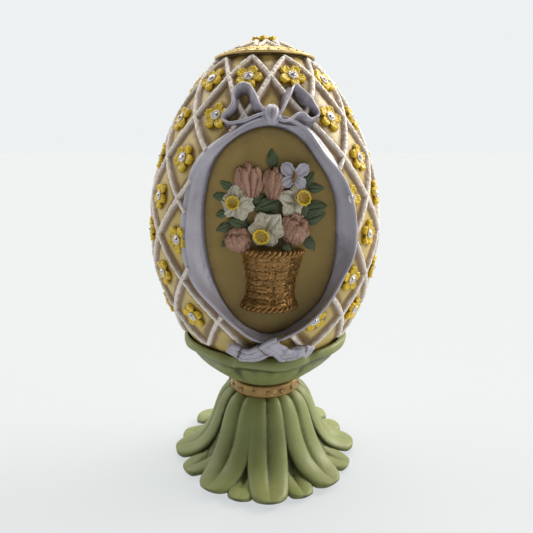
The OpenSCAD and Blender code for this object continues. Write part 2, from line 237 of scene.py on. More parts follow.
def painted(name, base, wash_and_shade, rough=0.5, grain=0.25, grain_scale=900, mottle=0.12, metal=0.0,
            highlight=None, slot=None):
    """Hand-painted cast resin: a base coat, a darker colour laid on by the per-vertex attribute both as the
    antique wash in the hollows and as painted shade, mottling and a fine grain.
    """
    mat = bpy.data.materials.new(name)
    mat["slot"] = slot or name
    mat.use_nodes = True
    nodes, links = mat.node_tree.nodes, mat.node_tree.links
    nodes.clear()
    out = nodes.new("ShaderNodeOutputMaterial")
    shader = nodes.new("ShaderNodeBsdfPrincipled")
    links.new(shader.outputs["BSDF"], out.inputs["Surface"])
    coords = nodes.new("ShaderNodeTexCoord")

    def noise_node(scale, detail=4.0, distortion=0.0):
        node = nodes.new("ShaderNodeTexNoise")
        node.inputs["Scale"].default_value = scale
        node.inputs["Detail"].default_value = detail
        node.inputs["Distortion"].default_value = distortion
        links.new(coords.outputs["Object"], node.inputs["Vector"])
        return node.outputs["Fac"]

    def maths(kind, a, b):
        node = nodes.new("ShaderNodeMath")
        node.operation = kind
        for socket, value in zip(node.inputs, (a, b)):
            if isinstance(value, (int, float)):
                socket.default_value = value
            else:
                links.new(value, socket)
        return node.outputs[0]

    def mix(factor, a, b):
        node = nodes.new("ShaderNodeMix")
        node.data_type = "RGBA"
        for socket, value in ((node.inputs["Factor"], factor), (node.inputs["A"], a), (node.inputs["B"], b)):
            if isinstance(value, tuple):
                socket.default_value = (*value, 1)
            else:
                links.new(value, socket)
        return node.outputs["Result"]

    attribute = nodes.new("ShaderNodeAttribute")
    attribute.attribute_name = "wash_and_shade"
    patches = noise_node(70, 3, 0.4)
    streaks = noise_node(420, 5, 0.6)
    grain_noise = noise_node(grain_scale, 3)
    # The darkening, wash and painted shade alike, has its edge broken up by two sizes of noise, as a wash
    # pools unevenly.
    darkening_mask = maths("ADD", attribute.outputs["Fac"], maths("MULTIPLY", maths("SUBTRACT", streaks, 0.5), 0.55))
    darkening_mask = maths("ADD", darkening_mask, maths("MULTIPLY", maths("SUBTRACT", patches, 0.5), 0.3))
    ramp = nodes.new("ShaderNodeValToRGB")
    ramp.color_ramp.interpolation = "EASE"
    ramp.color_ramp.elements[0].position = 0.12
    ramp.color_ramp.elements[1].position = 0.95
    links.new(darkening_mask, ramp.inputs["Fac"])
    shade = tuple(c * (1 - 1.6 * mottle) for c in base)
    tint = mix(maths("MULTIPLY", maths("SUBTRACT", patches, 0.32), 2.2), base, shade)
    if highlight:
        rubbed = maths("GREATER_THAN", grain_noise, 0.63)
        tint = mix(maths("MULTIPLY", rubbed, 0.55), tint, highlight)
    colour = mix(ramp.outputs["Color"], tint, wash_and_shade)
    links.new(colour, shader.inputs["Base Color"])
    roughness = maths("ADD", maths("MULTIPLY", streaks, 0.22), rough - 0.11)
    links.new(roughness, shader.inputs["Roughness"])
    shader.inputs["Metallic"].default_value = metal
    shader.inputs["Specular IOR Level"].default_value = 0.45
    bump = nodes.new("ShaderNodeBump")
    bump.inputs["Strength"].default_value = grain
    bump.inputs["Distance"].default_value = 0.0004
    height = maths("ADD", maths("MULTIPLY", grain_noise, 0.7), maths("MULTIPLY", streaks, 0.6))
    links.new(height, bump.inputs["Height"])
    links.new(bump.outputs["Normal"], shader.inputs["Normal"])
    return mat


def crystal_material():
    mat = painted("crystal", (0.50, 0.50, 0.54), (0.25, 0.25, 0.28), rough=0.24, grain=0.0, mottle=0.05)
    shader = next(n for n in mat.node_tree.nodes if n.type == "BSDF_PRINCIPLED")
    shader.inputs["Metallic"].default_value = 0.85
    shader.inputs["Coat Weight"].default_value = 1.0
    shader.inputs["Coat Roughness"].default_value = 0.03
    return mat


cream = painted("cream_resin", (0.60, 0.45, 0.145), (0.23, 0.145, 0.05), rough=0.40)
# The cream painted much darker, as painted shade on the back of the niche; it keeps the cream's slot.
shaded_niche_cream = painted("shaded_niche_cream", (0.29, 0.198, 0.052), (0.15, 0.10, 0.032), rough=0.55, mottle=0.14,
                      slot="cream_resin")
white = painted("white_resin", (0.86, 0.79, 0.72), (0.36, 0.255, 0.18), rough=0.4, grain=0.8,
                grain_scale=1300, mottle=0.1)
yellow = painted("yellow_resin", (0.80, 0.56, 0.025), (0.24, 0.125, 0.008), rough=0.36, grain=0.5)
lilac = painted("lilac_resin", (0.50, 0.48, 0.56), (0.12, 0.088, 0.10), rough=0.34, grain=0.35, mottle=0.16)
# Gold painted darker, as painted shade, for the pieces in the niche; the collar's lighter copy shares its
# slot.
gold = painted("gold_paint", (0.30, 0.155, 0.042), (0.022, 0.011, 0.003), rough=0.33, metal=0.6,
               grain=0.5, highlight=(0.78, 0.50, 0.20))
collar_gold = painted("collar_gold", (0.42, 0.26, 0.085), (0.10, 0.055, 0.015), rough=0.36, metal=0.45,
                      grain=0.4, highlight=(0.74, 0.52, 0.24), slot="gold_paint")
pale_gold = painted("pale_gold_paint", (0.70, 0.52, 0.20), (0.20, 0.12, 0.04), rough=0.36, metal=0.45,
                    grain=0.3)
green = painted("green_resin", (0.235, 0.262, 0.092), (0.032, 0.036, 0.009), grain=0.35)
leaf_paint = painted("leaf_paint", (0.075, 0.108, 0.042), (0.018, 0.026, 0.01), rough=0.42)
pink = painted("pink_paint", (0.44, 0.245, 0.165), (0.13, 0.045, 0.033), rough=0.46, grain=0.6,
               highlight=(0.62, 0.42, 0.28))
ivory = painted("ivory_paint", (0.62, 0.58, 0.46), (0.19, 0.155, 0.10), rough=0.48, grain=0.6)
felt = painted("felt", (0.03, 0.07, 0.04), (0.01, 0.03, 0.02), rough=0.95, grain=1.0, grain_scale=2600)
crystal = crystal_material()

# ---------- camera, lights and floor

scene = bpy.context.scene
VIEW_AZ = -4.3
VIEW_PITCH = 13.235
camera_data = bpy.data.cameras.new("camera")
camera_data.lens = 34.55
camera_data.sensor_width = 36
camera_data.shift_x = 0.0032
camera_data.clip_start = 0.01
camera = bpy.data.objects.new("camera", camera_data)
camera.location = (-0.01803, -0.2398, 0.15386)
camera.rotation_euler = Euler((radians(90 - VIEW_PITCH), 0, radians(VIEW_AZ)))
scene.collection.objects.link(camera)
scene.camera = camera


def soft_sun(name, source, strength, spread, colour):
    """Distant soft light that shines from a direction on the whole stage evenly."""
    data = bpy.data.lights.new(name, "SUN")
    data.energy = strength
    data.angle = radians(spread)
    data.color = colour
    obj = bpy.data.objects.new(name, data)
    obj.rotation_euler = Vector(source).to_track_quat("Z", "Y").to_euler()
    scene.collection.objects.link(obj)


WARM = (1.0, 0.95, 0.86)
soft_sun("right_window", (0.85, 0.30, 0.62), 3.3, 30, WARM)
soft_sun("left_window", (-0.85, 0.40, 0.70), 1.1, 40, WARM)
soft_sun("ceiling", (0.05, 0.40, 1.0), 2.1, 40, WARM)
soft_sun("room_right", (0.90, -0.42, 0.30), 0.75, 25, (1.0, 0.97, 0.94))


PALE = (0.847, 0.880, 0.890, 1)


def studio_world():
    """Pale wall behind the object that darkens to a dim room in front of it."""
    world = bpy.data.worlds.new("studio")
    world.use_nodes = True
    nodes, links = world.node_tree.nodes, world.node_tree.links
    coords = nodes.new("ShaderNodeTexCoord")
    split = nodes.new("ShaderNodeSeparateXYZ")
    links.new(coords.outputs["Generated"], split.inputs[0])
    depth = nodes.new("ShaderNodeMapRange")
    depth.interpolation_type = "SMOOTHSTEP"
    depth.inputs["From Min"].default_value = -0.25
    depth.inputs["From Max"].default_value = 0.55
    links.new(split.outputs["Y"], depth.inputs["Value"])
    ramp = nodes.new("ShaderNodeValToRGB")
    ramp.color_ramp.elements[0].color = (0.115, 0.11, 0.10, 1)
    ramp.color_ramp.elements[1].color = PALE
    links.new(depth.outputs["Result"], ramp.inputs["Fac"])
    links.new(ramp.outputs["Color"], nodes["Background"].inputs["Color"])
    nodes["Background"].inputs["Strength"].default_value = 1.0
    scene.world = world


studio_world()
scene.view_settings.view_transform = "Standard"


def paper_floor():
    """Sheet of pale paper; a little light of its own keeps it plain under the soft shadow."""
    mat = bpy.data.materials.new("floor")
    mat.use_nodes = True
    shader = mat.node_tree.nodes["Principled BSDF"]
    shader.inputs["Base Color"].default_value = (0.15, 0.156, 0.158, 1)
    shader.inputs["Roughness"].default_value = 0.9
    shader.inputs["Specular IOR Level"].default_value = 0.0
    shader.inputs["Emission Color"].default_value = PALE
    shader.inputs["Emission Strength"].default_value = 0.69
    size = 12.0
    mesh = bpy.data.meshes.new("floor")
    corners = [(-size, -size, 0), (size, -size, 0), (size, size, 0), (-size, size, 0)]
    mesh.from_pydata(corners, [], [(0, 1, 2, 3)])
    mesh.materials.append(mat)
    obj = bpy.data.objects.new("floor", mesh)
    scene.collection.objects.link(obj)


paper_floor()

# ---------- outline of the window

# Wavy edge of the ribbon round the window: angle and its size against the oval
RIM_WAVE = [
    (0, 1.045), (25, 1.02), (50, 0.95), (70, 1.03), (90, 1.045), (120, 1.03), (145, 1.10), (165, 1.065),
    (190, 1.075), (205, 1.05), (222, 0.975), (240, 0.975), (262, 1.02), (285, 0.965), (310, 0.94),
    (335, 0.965), (350, 1.04),
]
# Where the ribbon meets the panel
PANEL_WAVE = [
    (0, 0.83), (25, 0.865), (50, 0.87), (70, 0.93), (90, 0.96), (110, 0.965), (135, 0.965), (155, 0.9),
    (180, 0.845), (205, 0.85), (225, 0.895), (245, 0.95), (270, 0.985), (290, 0.94), (315, 0.92),
    (335, 0.875),
]


def wave(table, deg):
    """Smooth closed curve through (angle, value) pairs."""
    angles = [a for a, _ in table]
    n = len(table)
    deg %= 360
    i = max(k for k in range(n) if angles[k] <= deg)
    u = (deg - angles[i]) / ((angles[(i + 1) % n] - angles[i]) % 360)
    a, b, c, d = [table[(i + k) % n][1] for k in (-1, 0, 1, 2)]
    return b + 0.5 * u * (c - a + u * (2 * a - 5 * b + 4 * c - d + u * (3 * (b - c) + d - a)))


def oval(deg, factor, margin=0.0):
    """Point (x, z) at an angle round the oval, grown by a factor and then by a margin."""
    a = radians(deg)
    x, z = WINDOW_W * factor * cos(a), WINDOW_H * factor * sin(a)
    normal = Vector((x / WINDOW_W ** 2, z / WINDOW_H ** 2)).normalized()
    return x + normal.x * margin, WINDOW_Z + z + normal.y * margin


def window_angle(x, z):
    return degrees(atan2((z - WINDOW_Z) / WINDOW_H, x / WINDOW_W))


def rim_gap(az, z):
    """Distance in millimetres from the ribbon's ridge, more than 0 outside the window."""
    if cos(radians(az)) <= 0:
        return 99.0
    x = rad(z) * sin(radians(az))
    deg = window_angle(x, z)
    rx, rz = oval(deg, wave(RIM_WAVE, deg))
    reach = hypot(x, z - WINDOW_Z)
    return (reach - hypot(rx, rz - WINDOW_Z)) * 0.95


def left_fold(deg):
    """1 on the left of the window, where the ribbon's fold is widest, and 0 on the right."""
    return bell(signed(deg - 178), 48)


def front(x, z, height):
    """Point at (x, z) on the front of the egg, a height above the shell along its normal."""
    az = degrees(asin(clamp(x / rad(z), -1, 1)))
    return on_egg(az, z, height)


# ---------- lattice and flower places


def level_z(level):
    """Height of a lattice level, smooth between the crossings."""
    return smooth_through([(z,) for z in LEVELS], level / (len(LEVELS) - 1))[0]


def laid_az(az, level):
    """Azimuth on the hand-laid lattice: it drifts on its way down, and opens out right of the window."""
    return az + 0.7 * (len(LEVELS) - 2 - level) + 3.4 * bell(signed(az) - 30, 14)


def row_level(row):
    return len(LEVELS) - 1 - row


def row_azimuths(row):
    level = row_level(row)
    z = LEVELS[level]
    for k in range(STRIPS):
        az = laid_az(2 * STEP_AZ * k + STEP_AZ * (level % 2), level)
        x = rad(z) * sin(radians(az))
        inside = cos(radians(az)) > 0 and (
            (x / (WINDOW_W - 1.5)) ** 2 + ((z - WINDOW_Z) / (WINDOW_H - 1.5)) ** 2 < 1
        )
        under_knot = row == 2 and abs(az) < STEP_AZ
        if not inside and not under_knot:
            yield az


FLOWERS = [(az, LEVELS[row_level(row)], row) for row in range(1, ROWS + 1) for az in row_azimuths(row)]

# ---------- egg shell


def lattice_darkening(az, z):
    """How dark the shell is painted at a point: antique wash and painted shadow beside the strips, and darker
    towards the bottom below the lattice.
    """
    if z < LEVELS[0] - 4:
        return 0.12 + 0.25 * clamp((z - 52) / -8)
    level = np.interp(z, LEVELS, range(len(LEVELS)))
    r = rad(z)
    turn = STEP_AZ * (len(LEVELS) - 1 - level)
    az -= laid_az(az, level) - az
    slope = radians(STEP_AZ) * r / max(1.0, np.interp(z, LEVELS[1:], np.diff(LEVELS)))
    nearest = 99.0
    for hand in (-1, 1):
        gap = (az - STEP_AZ - hand * turn) % (2 * STEP_AZ)
        gap = min(gap, 2 * STEP_AZ - gap)
        nearest = min(nearest, radians(gap) * r / hypot(1, slope))
    return 0.9 * bell(max(0, nearest - 2), 1.7)


def egg_shell():
    """Open lathe with the window cut out and its edge snapped to the oval, then given a thickness."""
    n_az, n_z = 420, 210
    wall = 3.6
    low, high = -pi / 2, asin((SEAM_Z - EGG_MID) / EGG_HALF)
    outer, inner, wash_and_shade = [], [], []
    keep = []
    for i in range(n_z + 1):
        z = EGG_MID + EGG_HALF * sin(low + (high - low) * i / n_z)
        z = max(z, EGG_MID - EGG_HALF + 0.02)
        for j in range(n_az):
            az = 360 * j / n_az
            outer.append((az, z))
            keep.append(rim_gap(az, z) >= 0.5)
    flower_spots = [(az, z) for az, z, _ in FLOWERS]
    faces = []
    for i in range(n_z):
        for j in range(n_az):
            here, after = i * n_az, i * n_az + n_az
            quad = (here + j, here + (j + 1) % n_az, after + (j + 1) % n_az, after + j)
            if any(keep[q] for q in quad):
                faces.append(quad)
    form = Form()
    index = {}
    for q in sorted({q for f in faces for q in f}):
        az, z = outer[q]
        if not keep[q]:
            # Snap a vertex that falls inside the window out to the ribbon's ridge.
            x = rad(z) * sin(radians(az))
            deg = window_angle(x, z)
            x, z = oval(deg, wave(RIM_WAVE, deg), 0.5)
            az = degrees(asin(clamp(x / rad(z), -1, 1)))
        index[q] = len(form.verts)
        point, _, _, out = egg_frame(az, z)
        value = lattice_darkening(az, z)
        # A ring of wash and painted shadow round each flower.
        for faz, fz in flower_spots:
            if abs(z - fz) < 9:
                gap = abs(signed(az - faz))
                if gap < 25:
                    d = hypot(radians(gap) * rad(z), (z - fz) * 1.1)
                    value = max(value, 0.95 * bell(max(0, d - 4.8), 1.6))
        form.verts.append(tuple(point))
        form.wash_and_shade.append(value)
        # The wall thins towards the window, so that it stays behind the ribbon.
        inner.append(tuple(point - out * (0.8 + (wall - 0.8) * clamp((rim_gap(az, z) - 0.5) / 6))))
        wash_and_shade.append(0.3)
    base = len(form.verts)
    form.verts += inner
    form.wash_and_shade += wash_and_shade
    edges = {}
    for f in faces:
        face = [index[q] for q in f]
        form.faces.append(tuple(face))
        form.faces.append(tuple(base + k for k in reversed(face)))
        for a, b in zip(face, face[1:] + face[:1]):
            edges[(a, b)] = edges.get((a, b), 0) + 1
    for a, b in edges:
        if (b, a) not in edges:
            form.faces.append((b, a, base + a, base + b))
    return piece("painted_egg_shell", form, cream, "egg", ["egg_shell"])


egg_shell()

# ---------- lattice strips


def strip_rings(hand, start):
    """Rings of one raised strip; a ring inside the window is skipped, which splits the strip."""
    per_level = 40
    top_level = len(LEVELS) - 1
    # Half of a strip's section: how far it reaches sideways, and its height there
    section = [(1.75, -0.3), (1.6, 0.08), (1.3, 0.42), (1.0, 0.85), (0.78, 1.35), (0.56, 1.72), (0.3, 1.84),
               (0.0, 1.87)]
    section = [(-x, h) for x, h in section] + section[-2::-1]
    runs, rings = [], []
    count = top_level * per_level
    path = []
    for i in range(count + 1):
        level = top_level * i / count
        path.append((laid_az(start + hand * STEP_AZ * (top_level - level), level), level_z(level)))
    length = 0.0
    seed = start * 0.37 + hand * 11
    for i, (az, z) in enumerate(path):
        point, _, _, out = egg_frame(az, z)
        ahead = on_egg(*path[min(i + 1, count)]) - on_egg(*path[max(i - 1, 0)])
        side = ahead.normalized().cross(out).normalized()
        length += ahead.length / 2
        if rim_gap(signed(az), z) < 0.9:
            runs.append(rings)
            rings = []
            continue
        # The crest is beaded, with a dark pit between every second pair of beads.
        bead = abs(sin(pi * (length + 0.8 * wobble(length * 0.3, seed + 2)) / 2.1)) ** 0.7
        pit_at = 4.2 * (0.5 + round(length / 4.2 - 0.5)) + 0.5 * wobble(round(length / 4.2 - 0.5) * 1.7, seed)
        pit = bell(length - pit_at, 0.38)
        wide = 1 + 0.09 * wobble(length * 0.5, seed)
        tall = (0.93 + 0.08 * wobble(length * 0.7, seed + 5)) * (0.94 + 0.07 * bead)
        if i < 6:
            tall *= 0.45 + 0.09 * i
        ring = []
        for x, h in section:
            rough = 0.07 * wobble(length * 1.6, x * 1.9, seed)
            dent = 0.5 * pit * bell(x + 0.1, 0.5)
            lift = h * tall + rough - dent if h > 0 else h
            # The flanks are darker than the crest, part wash and part painted shade, and the pits are painted
            # dark as shade.
            tone = clamp((abs(x) - 0.56) / 0.7) + 0.3 * wobble(length * 0.35, x, seed) + 1.1 * dent
            ring.append((point + side * (x * wide * (0.95 + 0.06 * bead)) + out * lift, tone))
        rings.append(ring)
    return [run for run in runs + [rings] if len(run) > 3]


def lattice():
    for way, hand in (("west", 1), ("east", -1)):
        form = Form()
        for k in range(STRIPS):
            for rings in strip_rings(hand, STEP_AZ + 2 * STEP_AZ * k):
                form.tube(rings)
        piece(f"lattice_rising_{way}", form, white, "egg", [f"lattice_{way}"])


lattice()

# ---------- small flowers and crystals


def blossom(r, petals, seed, height=1.7):
    """Cast flower: each petal is a ruffled lobe with a hollow in it, parted from the next by a deep notch."""
    n_a, n_p = 90, 14
    form = Form()
    rng = random.Random(seed)
    turn = rng.uniform(0, 6.28)
    sizes = [rng.uniform(0.86, 1.1) for _ in range(petals)]
    rings = []
    for i in range(1, n_p + 1):
        p = i / n_p
        ring = []
        for k in range(n_a):
            a = 2 * pi * k / n_a
            phase = a * petals / (2 * pi)
            lobe = abs(cos(pi * (phase - 0.5))) ** 0.62
            size = sizes[int(phase) % petals]
            ruffle = sin(4 * petals * a + seed * 1.3)
            edge = r * (0.50 + 0.50 * lobe * size) * (1 + 0.03 * ruffle)
            hollow = bell(p - 0.66, 0.15) * lobe ** 2
            rise = height * (0.35 + 0.65 * sin(min(p / 0.86, 1) * pi / 2) ** 2)
            rise = rise * (0.55 + 0.45 * lobe) - 0.45 * hollow + 0.2 * p * ruffle * lobe
            if p > 0.86:
                rise -= 1.1 * ((p - 0.86) / 0.14) ** 2
            if i == n_p:
                rise = -0.1
            # Painted shade, with some wash: darker in the notches between petals, in their hollows, towards
            # the centre and under the rim; the lobes are lighter.
            tone = 0.75 - 1.0 * lobe + 0.45 * hollow + 0.35 * (1 - p) ** 2 - 0.12 * ruffle
            tone = clamp(tone + (0.55 if i == n_p else 0))
            ring.append((Vector((edge * p * cos(a + turn), edge * p * sin(a + turn), rise)), tone))
        rings.append(ring)
    form.tube(rings)
    return form


def place_on_egg(az, z, height=0.0, turn=0.0):
    point, east, north, out = egg_frame(az, z)
    basis = Matrix((east, north, out)).transposed().to_4x4()
    return Matrix.Translation(point + out * height) @ basis @ Matrix.Rotation(turn, 4, "Z")


def cut_stone(r):
    """Round brilliant: a foot, a girdle, a crown of eight facets with their corners, and a table."""

    def ring(widths, heights, wash_and_shade):
        return [(Vector((w * r * cos(a), w * r * sin(a), z)), wash_and_shade)
                for a, w, z in zip(turns(16), widths * 8, heights * 8)]

    form = Form()
    # The stone is painted darker towards its foot, as shade under it.
    form.tube([ring([0.8, 0.8], [-0.25, -0.25], 0.2), ring([1, 1], [0.25, 0.25], 0.1),
               ring([0.72, 0.62], [0.62, 0.72], 0), ring([0.46, 0.46], [0.86, 0.86], 0)])
    return form


def setting(form, place, seed):
    """Ragged white ring that holds a stone."""
    rings = []
    for a in turns(40):
        knob = wobble(2.2 * cos(a), 2.2 * sin(a), seed)
        major = 1.62 + 0.3 * knob
        minor = 0.42 + 0.2 * wobble(3 * cos(a), 3 * sin(a), seed + 9)
        centre = Vector((major * cos(a), major * sin(a), 0.2 * knob))
        radial = Vector((cos(a), sin(a), 0))
        # Painted shade: the ring is darker underneath, lighter on top and on its knobs.
        rings.append([
            (place @ (centre + radial * minor * cos(b) + Vector((0, 0, minor * sin(b)))),
             clamp(0.35 - 0.5 * sin(b) - 0.5 * knob)) for b in turns(8)
        ])
    form.tube(rings, loop=True)


def tuck_under_ribbon(form, first):
    """Moves the vertices that would stand inside the window back to the ribbon's ridge."""
    for i in range(first, len(form.verts)):
        x, y, z = form.verts[i]
        if y > 0 or abs(x) > 45:
            continue
        az = degrees(atan2(x, -y))
        if rim_gap(az, z) < 0.9:
            deg = window_angle(x, z)
            form.verts[i] = tuple(front(*oval(deg, wave(RIM_WAVE, deg), 0.9), 0.3))


def flowers():
    stones, settings = Form(), Form()
    for row in range(1, ROWS + 1):
        form = Form()
        for i, (az, z, flower_row) in enumerate(FLOWERS):
            if flower_row != row:
                continue
            seed = row * 40 + i
            rng = random.Random(seed)
            place = place_on_egg(az + rng.uniform(-0.7, 0.7), z + rng.uniform(-0.5, 0.5), 0.0)
            first = len(form.verts)
            form.add(blossom(5.75, 5, seed), place)
            tuck_under_ribbon(form, first)
            spin = Matrix.Rotation(rng.uniform(0, 1), 4, "Z")
            stones.add(cut_stone(1.3), place @ Matrix.Translation((0, 0, 1.3)) @ spin)
            setting(settings, place @ Matrix.Translation((0, 0, 1.35)), seed)
        piece(f"yellow_flowers_row_{row}", form, yellow, "egg", [f"flowers_row_{row}"])
    piece("rhinestones", stones, crystal, "egg", ["crystals"], flat=True)
    piece("rhinestone_settings", settings, white, "egg")


flowers()

# ---------- niche: panel and ribbon frame


def niche_panel():
    """Shallow dish at the back of the niche."""
    form = Form()
    rows, n = 30, 160
    points, wash_and_shade = np.zeros((rows, n, 3)), np.zeros((rows, n))
    for i in range(rows):
        p = 0.02 + 0.98 * i / (rows - 1)
        for k in range(n):
            deg = 360 * k / n
            x, z = oval(deg, 1.02 * p * wave(PANEL_WAVE, deg))
            points[i, k] = (x, -PANEL_Y - 0.8 * p ** 3, z)
            # Painted shade: the panel darkens at its edge, where it meets the ribbon's wall.
            wash_and_shade[i, k] = 0.6 * clamp((p - 0.86) / 0.14) + 0.1
    form.slab(points, -2.0, wash_and_shade, wrap=True)
    # The sheet's inner edge is closed to a point, in front and at the back.
    centre, back = len(form.verts), rows * n
    form.verts += [(0, -PANEL_Y, WINDOW_Z), (0, -PANEL_Y + 2.0, WINDOW_Z)]
    form.wash_and_shade += [0.1, 0.1]
    form.faces = [f for f in form.faces if not (len(f) == 4 and all(v % back < n for v in f))]
    for k in range(n):
        m = (k + 1) % n
        form.faces += [(centre, k, m), (centre + 1, back + m, back + k)]
    piece("niche_back_panel", form, shaded_niche_cream, "egg", ["niche_tray"])


def ribbon_frame():
    """Ribbon that stands on edge round the window, with a narrow fold lying outside it on the left."""
    n = 480
    rings = []
    for i in range(n):
        deg = 360 * i / n
        rim, inner = wave(RIM_WAVE, deg), wave(PANEL_WAVE, deg)
        left = left_fold(deg)
        # Below the knot on the upper right the ribbon turns over and shows its outer face.
        twist = bell(signed(deg - 52), 15)
        fold = 0.75 + 1.75 * left + 2.0 * twist
        crest = 2.3 + 0.25 * wobble(deg * 0.06, 3.1) - 0.5 * left
        valley = 0.62 + 1.25 * (1 - left) * (1 - 0.4 * twist)
        # The third number is how dark a place is painted: the fold's foot and, on the left, its valley are
        # darker, as painted shade.
        outline = [
            (fold + 0.6, -0.4, 0.7), (fold + 0.45, 0.5, 0.3), (fold + 0.1, 0.95, 0.0),
            (fold * 0.6 + 0.2, 0.95 + 0.25 * twist, 0.02), (0.55, valley, 0.75 * left + 0.08),
            (0.34, valley + 0.1, 0.9 * left), (0.2, crest * 0.8, 0.15), (0.06, crest, 0.0),
            (-0.26, crest + 0.02, 0.0), (-0.5, crest - 0.3, 0.0),
        ]
        ring = [(front(*oval(deg, rim, margin), height), tone) for margin, height, tone in outline]
        top = front(*oval(deg, rim, -0.55), crest - 0.75)
        x1, z1 = oval(deg, inner)
        foot = Vector((x1, -PANEL_Y - 0.9, z1))
        towards = Vector((-x1, 0, WINDOW_Z - z1)).normalized()
        for k in range(12):
            t = k / 11
            ripple = 0.30 * wobble(deg * 0.045 + t * 0.8, t * 2.2, 9.0) + 0.12 * wobble(deg * 0.2, t * 3)
            streak = 0.22 * wobble(t * 6.5, deg * 0.035, 4.0)
            point = top.lerp(foot, t) - towards * ((0.75 + ripple) * sin(pi * t))
            # Painted shade: the wall darkens towards its foot at the back of the niche.
            ring.append((point, clamp(0.16 + 0.3 * t ** 3 + streak)))
        x2, z2 = oval(deg, rim, -0.8)
        ring += [(Vector((x, -PANEL_Y + 1.2, z)), 0.6) for x, z in ((x1, z1), (x2, z2))]
        rings.append(ring)
    form = Form()
    form.tube(rings, loop=True)
    piece("ribbon_round_window", form, lilac, "egg", ["ribbon_frame"])


niche_panel()
ribbon_frame()


# ---------- bow, knot and tails


def pushed(az, z, height):
    """Point at a height z, moved straight out from the egg's axis."""
    return round_axis(rad(z) + height, radians(az), z)


def standing_loop(name, base, front_edge, height, node):
    """Closed band of ribbon that stands on the egg from one outline up to another."""
    n = 150
    lows = [smooth_through(base, i / n, closed=True) for i in range(n)]
    highs = [smooth_through(front_edge, i / n, closed=True) for i in range(n)]
    # Up the band's face: how far, and how thick it is there
    stations = [(0, 1.1), (0.2, 0.95), (0.4, 0.85), (0.6, 0.8), (0.78, 0.85), (0.9, 1.15), (0.97, 1.1),
                (1, 0.55)]
    rings = []
    half = 0.48
    for i in range(n):
        low = on_egg(*lows[i], -0.3)
        lift = height * (1 - 0.12 * wobble(i * 0.09, height))
        high = pushed(*highs[i], lift)
        after = pushed(*highs[(i + 2) % n], lift) + on_egg(*lows[(i + 2) % n])
        before = pushed(*highs[i - 2], lift) + on_egg(*lows[i - 2])
        along = (after - before).normalized()
        up = (high - low).normalized()
        side = along.cross(up).normalized()
        bend = 0.35 * sin(i * 0.21) + 0.4
        ring = []
        for face, deep, power, least, seed in ((1, 0.62, 1.3, 0.2, 3), (-1, 0.75, 1.1, 0.25, 8)):
            for t, w in stations[::face]:
                # Painted shade: the band darkens towards the egg, and its front edge is left clean as a
                # painted highlight.
                streak = 0.2 * wobble(t * 5, i * 0.11, height + seed)
                tone = clamp(deep * (1 - t) ** power + least + streak if t < 0.85 else 0)
                ring.append((low.lerp(high, t) + side * (face * half * w + bend * sin(pi * t)), tone))
        rings.append(ring)
    form = Form()
    form.tube(rings, loop=True)
    piece(name, form, lilac, "egg", [node])


def bow():
    standing_loop(
        "bow_loop_west",
        [(-2, 165), (-5, 164.8), (-11, 163.4), (-16.7, 161.7), (-23, 160.4), (-26.3, 161.6), (-25.4, 164),
         (-22.8, 165.6), (-20.6, 168.5), (-20.8, 171.2), (-20.3, 172.8), (-17.8, 173.4), (-14.9, 172.5),
         (-13, 170), (-12, 167.9), (-9.5, 166.1), (-5.5, 165.7)],
        [(-2, 165.4), (-4.7, 165.7), (-10.3, 164.4), (-15.4, 163.1), (-21, 162.4), (-24.6, 163.5),
         (-25.9, 164.7), (-23.9, 167.1), (-21.8, 169.9), (-22.4, 172.9), (-22.3, 175.6), (-20, 177.3),
         (-17, 177.7), (-13.6, 176.9), (-10.7, 174.8), (-8.4, 171.9), (-6.4, 168.6)],
        5.0, "bow_loop_left",
    )
    standing_loop(
        "bow_loop_east",
        [(1.5, 165), (3.5, 166.8), (5.6, 170.8), (8.2, 174.7), (13, 176.3), (15.3, 174.2), (16, 171.3),
         (17.9, 169.2), (20.7, 168.3), (23.3, 166.9), (25.4, 164.1), (25, 161.5), (21.5, 160.3),
         (17.3, 160.9), (13.6, 161.6), (10, 161.9), (6.8, 162.4), (3.5, 163.2)],
        [(1.5, 165.4), (3.8, 166.4), (6.4, 168.9), (9.6, 172.3), (12.8, 175.8), (15.6, 177.2), (18, 175.9),
         (20.6, 174), (22.8, 172.2), (23.4, 169.8), (24.4, 167.6), (24, 165.8), (22.1, 164.8), (18.9, 164.3),
         (15.6, 166.2), (12.4, 165.9), (8.4, 163.6), (4, 163.3)],
        5.0, "bow_loop_right",
    )
    # Knot: a pleated ball on the crossing of the loops
    form = Form()
    place = place_on_egg(-0.8, 164.3, 2.3)
    rings = []
    for i in range(1, 24):
        phi = pi * i / 24
        ring = []
        for a in turns(72):
            pleat = cos(6 * a + 0.8 * sin(2 * phi)) * sin(phi)
            r = 1 + 0.05 * pleat
            point = Vector((3.5 * r * sin(phi) * cos(a), 4.1 * r * cos(phi), 3.2 * r * sin(phi) * sin(a)))
            # Painted shade: darker in the folds of the pleats and on the side that faces the egg.
            ring.append((place @ point, 0.2 - 0.42 * pleat + 0.25 * (sin(phi) * sin(a) < -0.2)))
        rings.append(ring)
    form.tube(rings)
    piece("bow_knot_ball", form, lilac, "egg", ["bow_knot"])


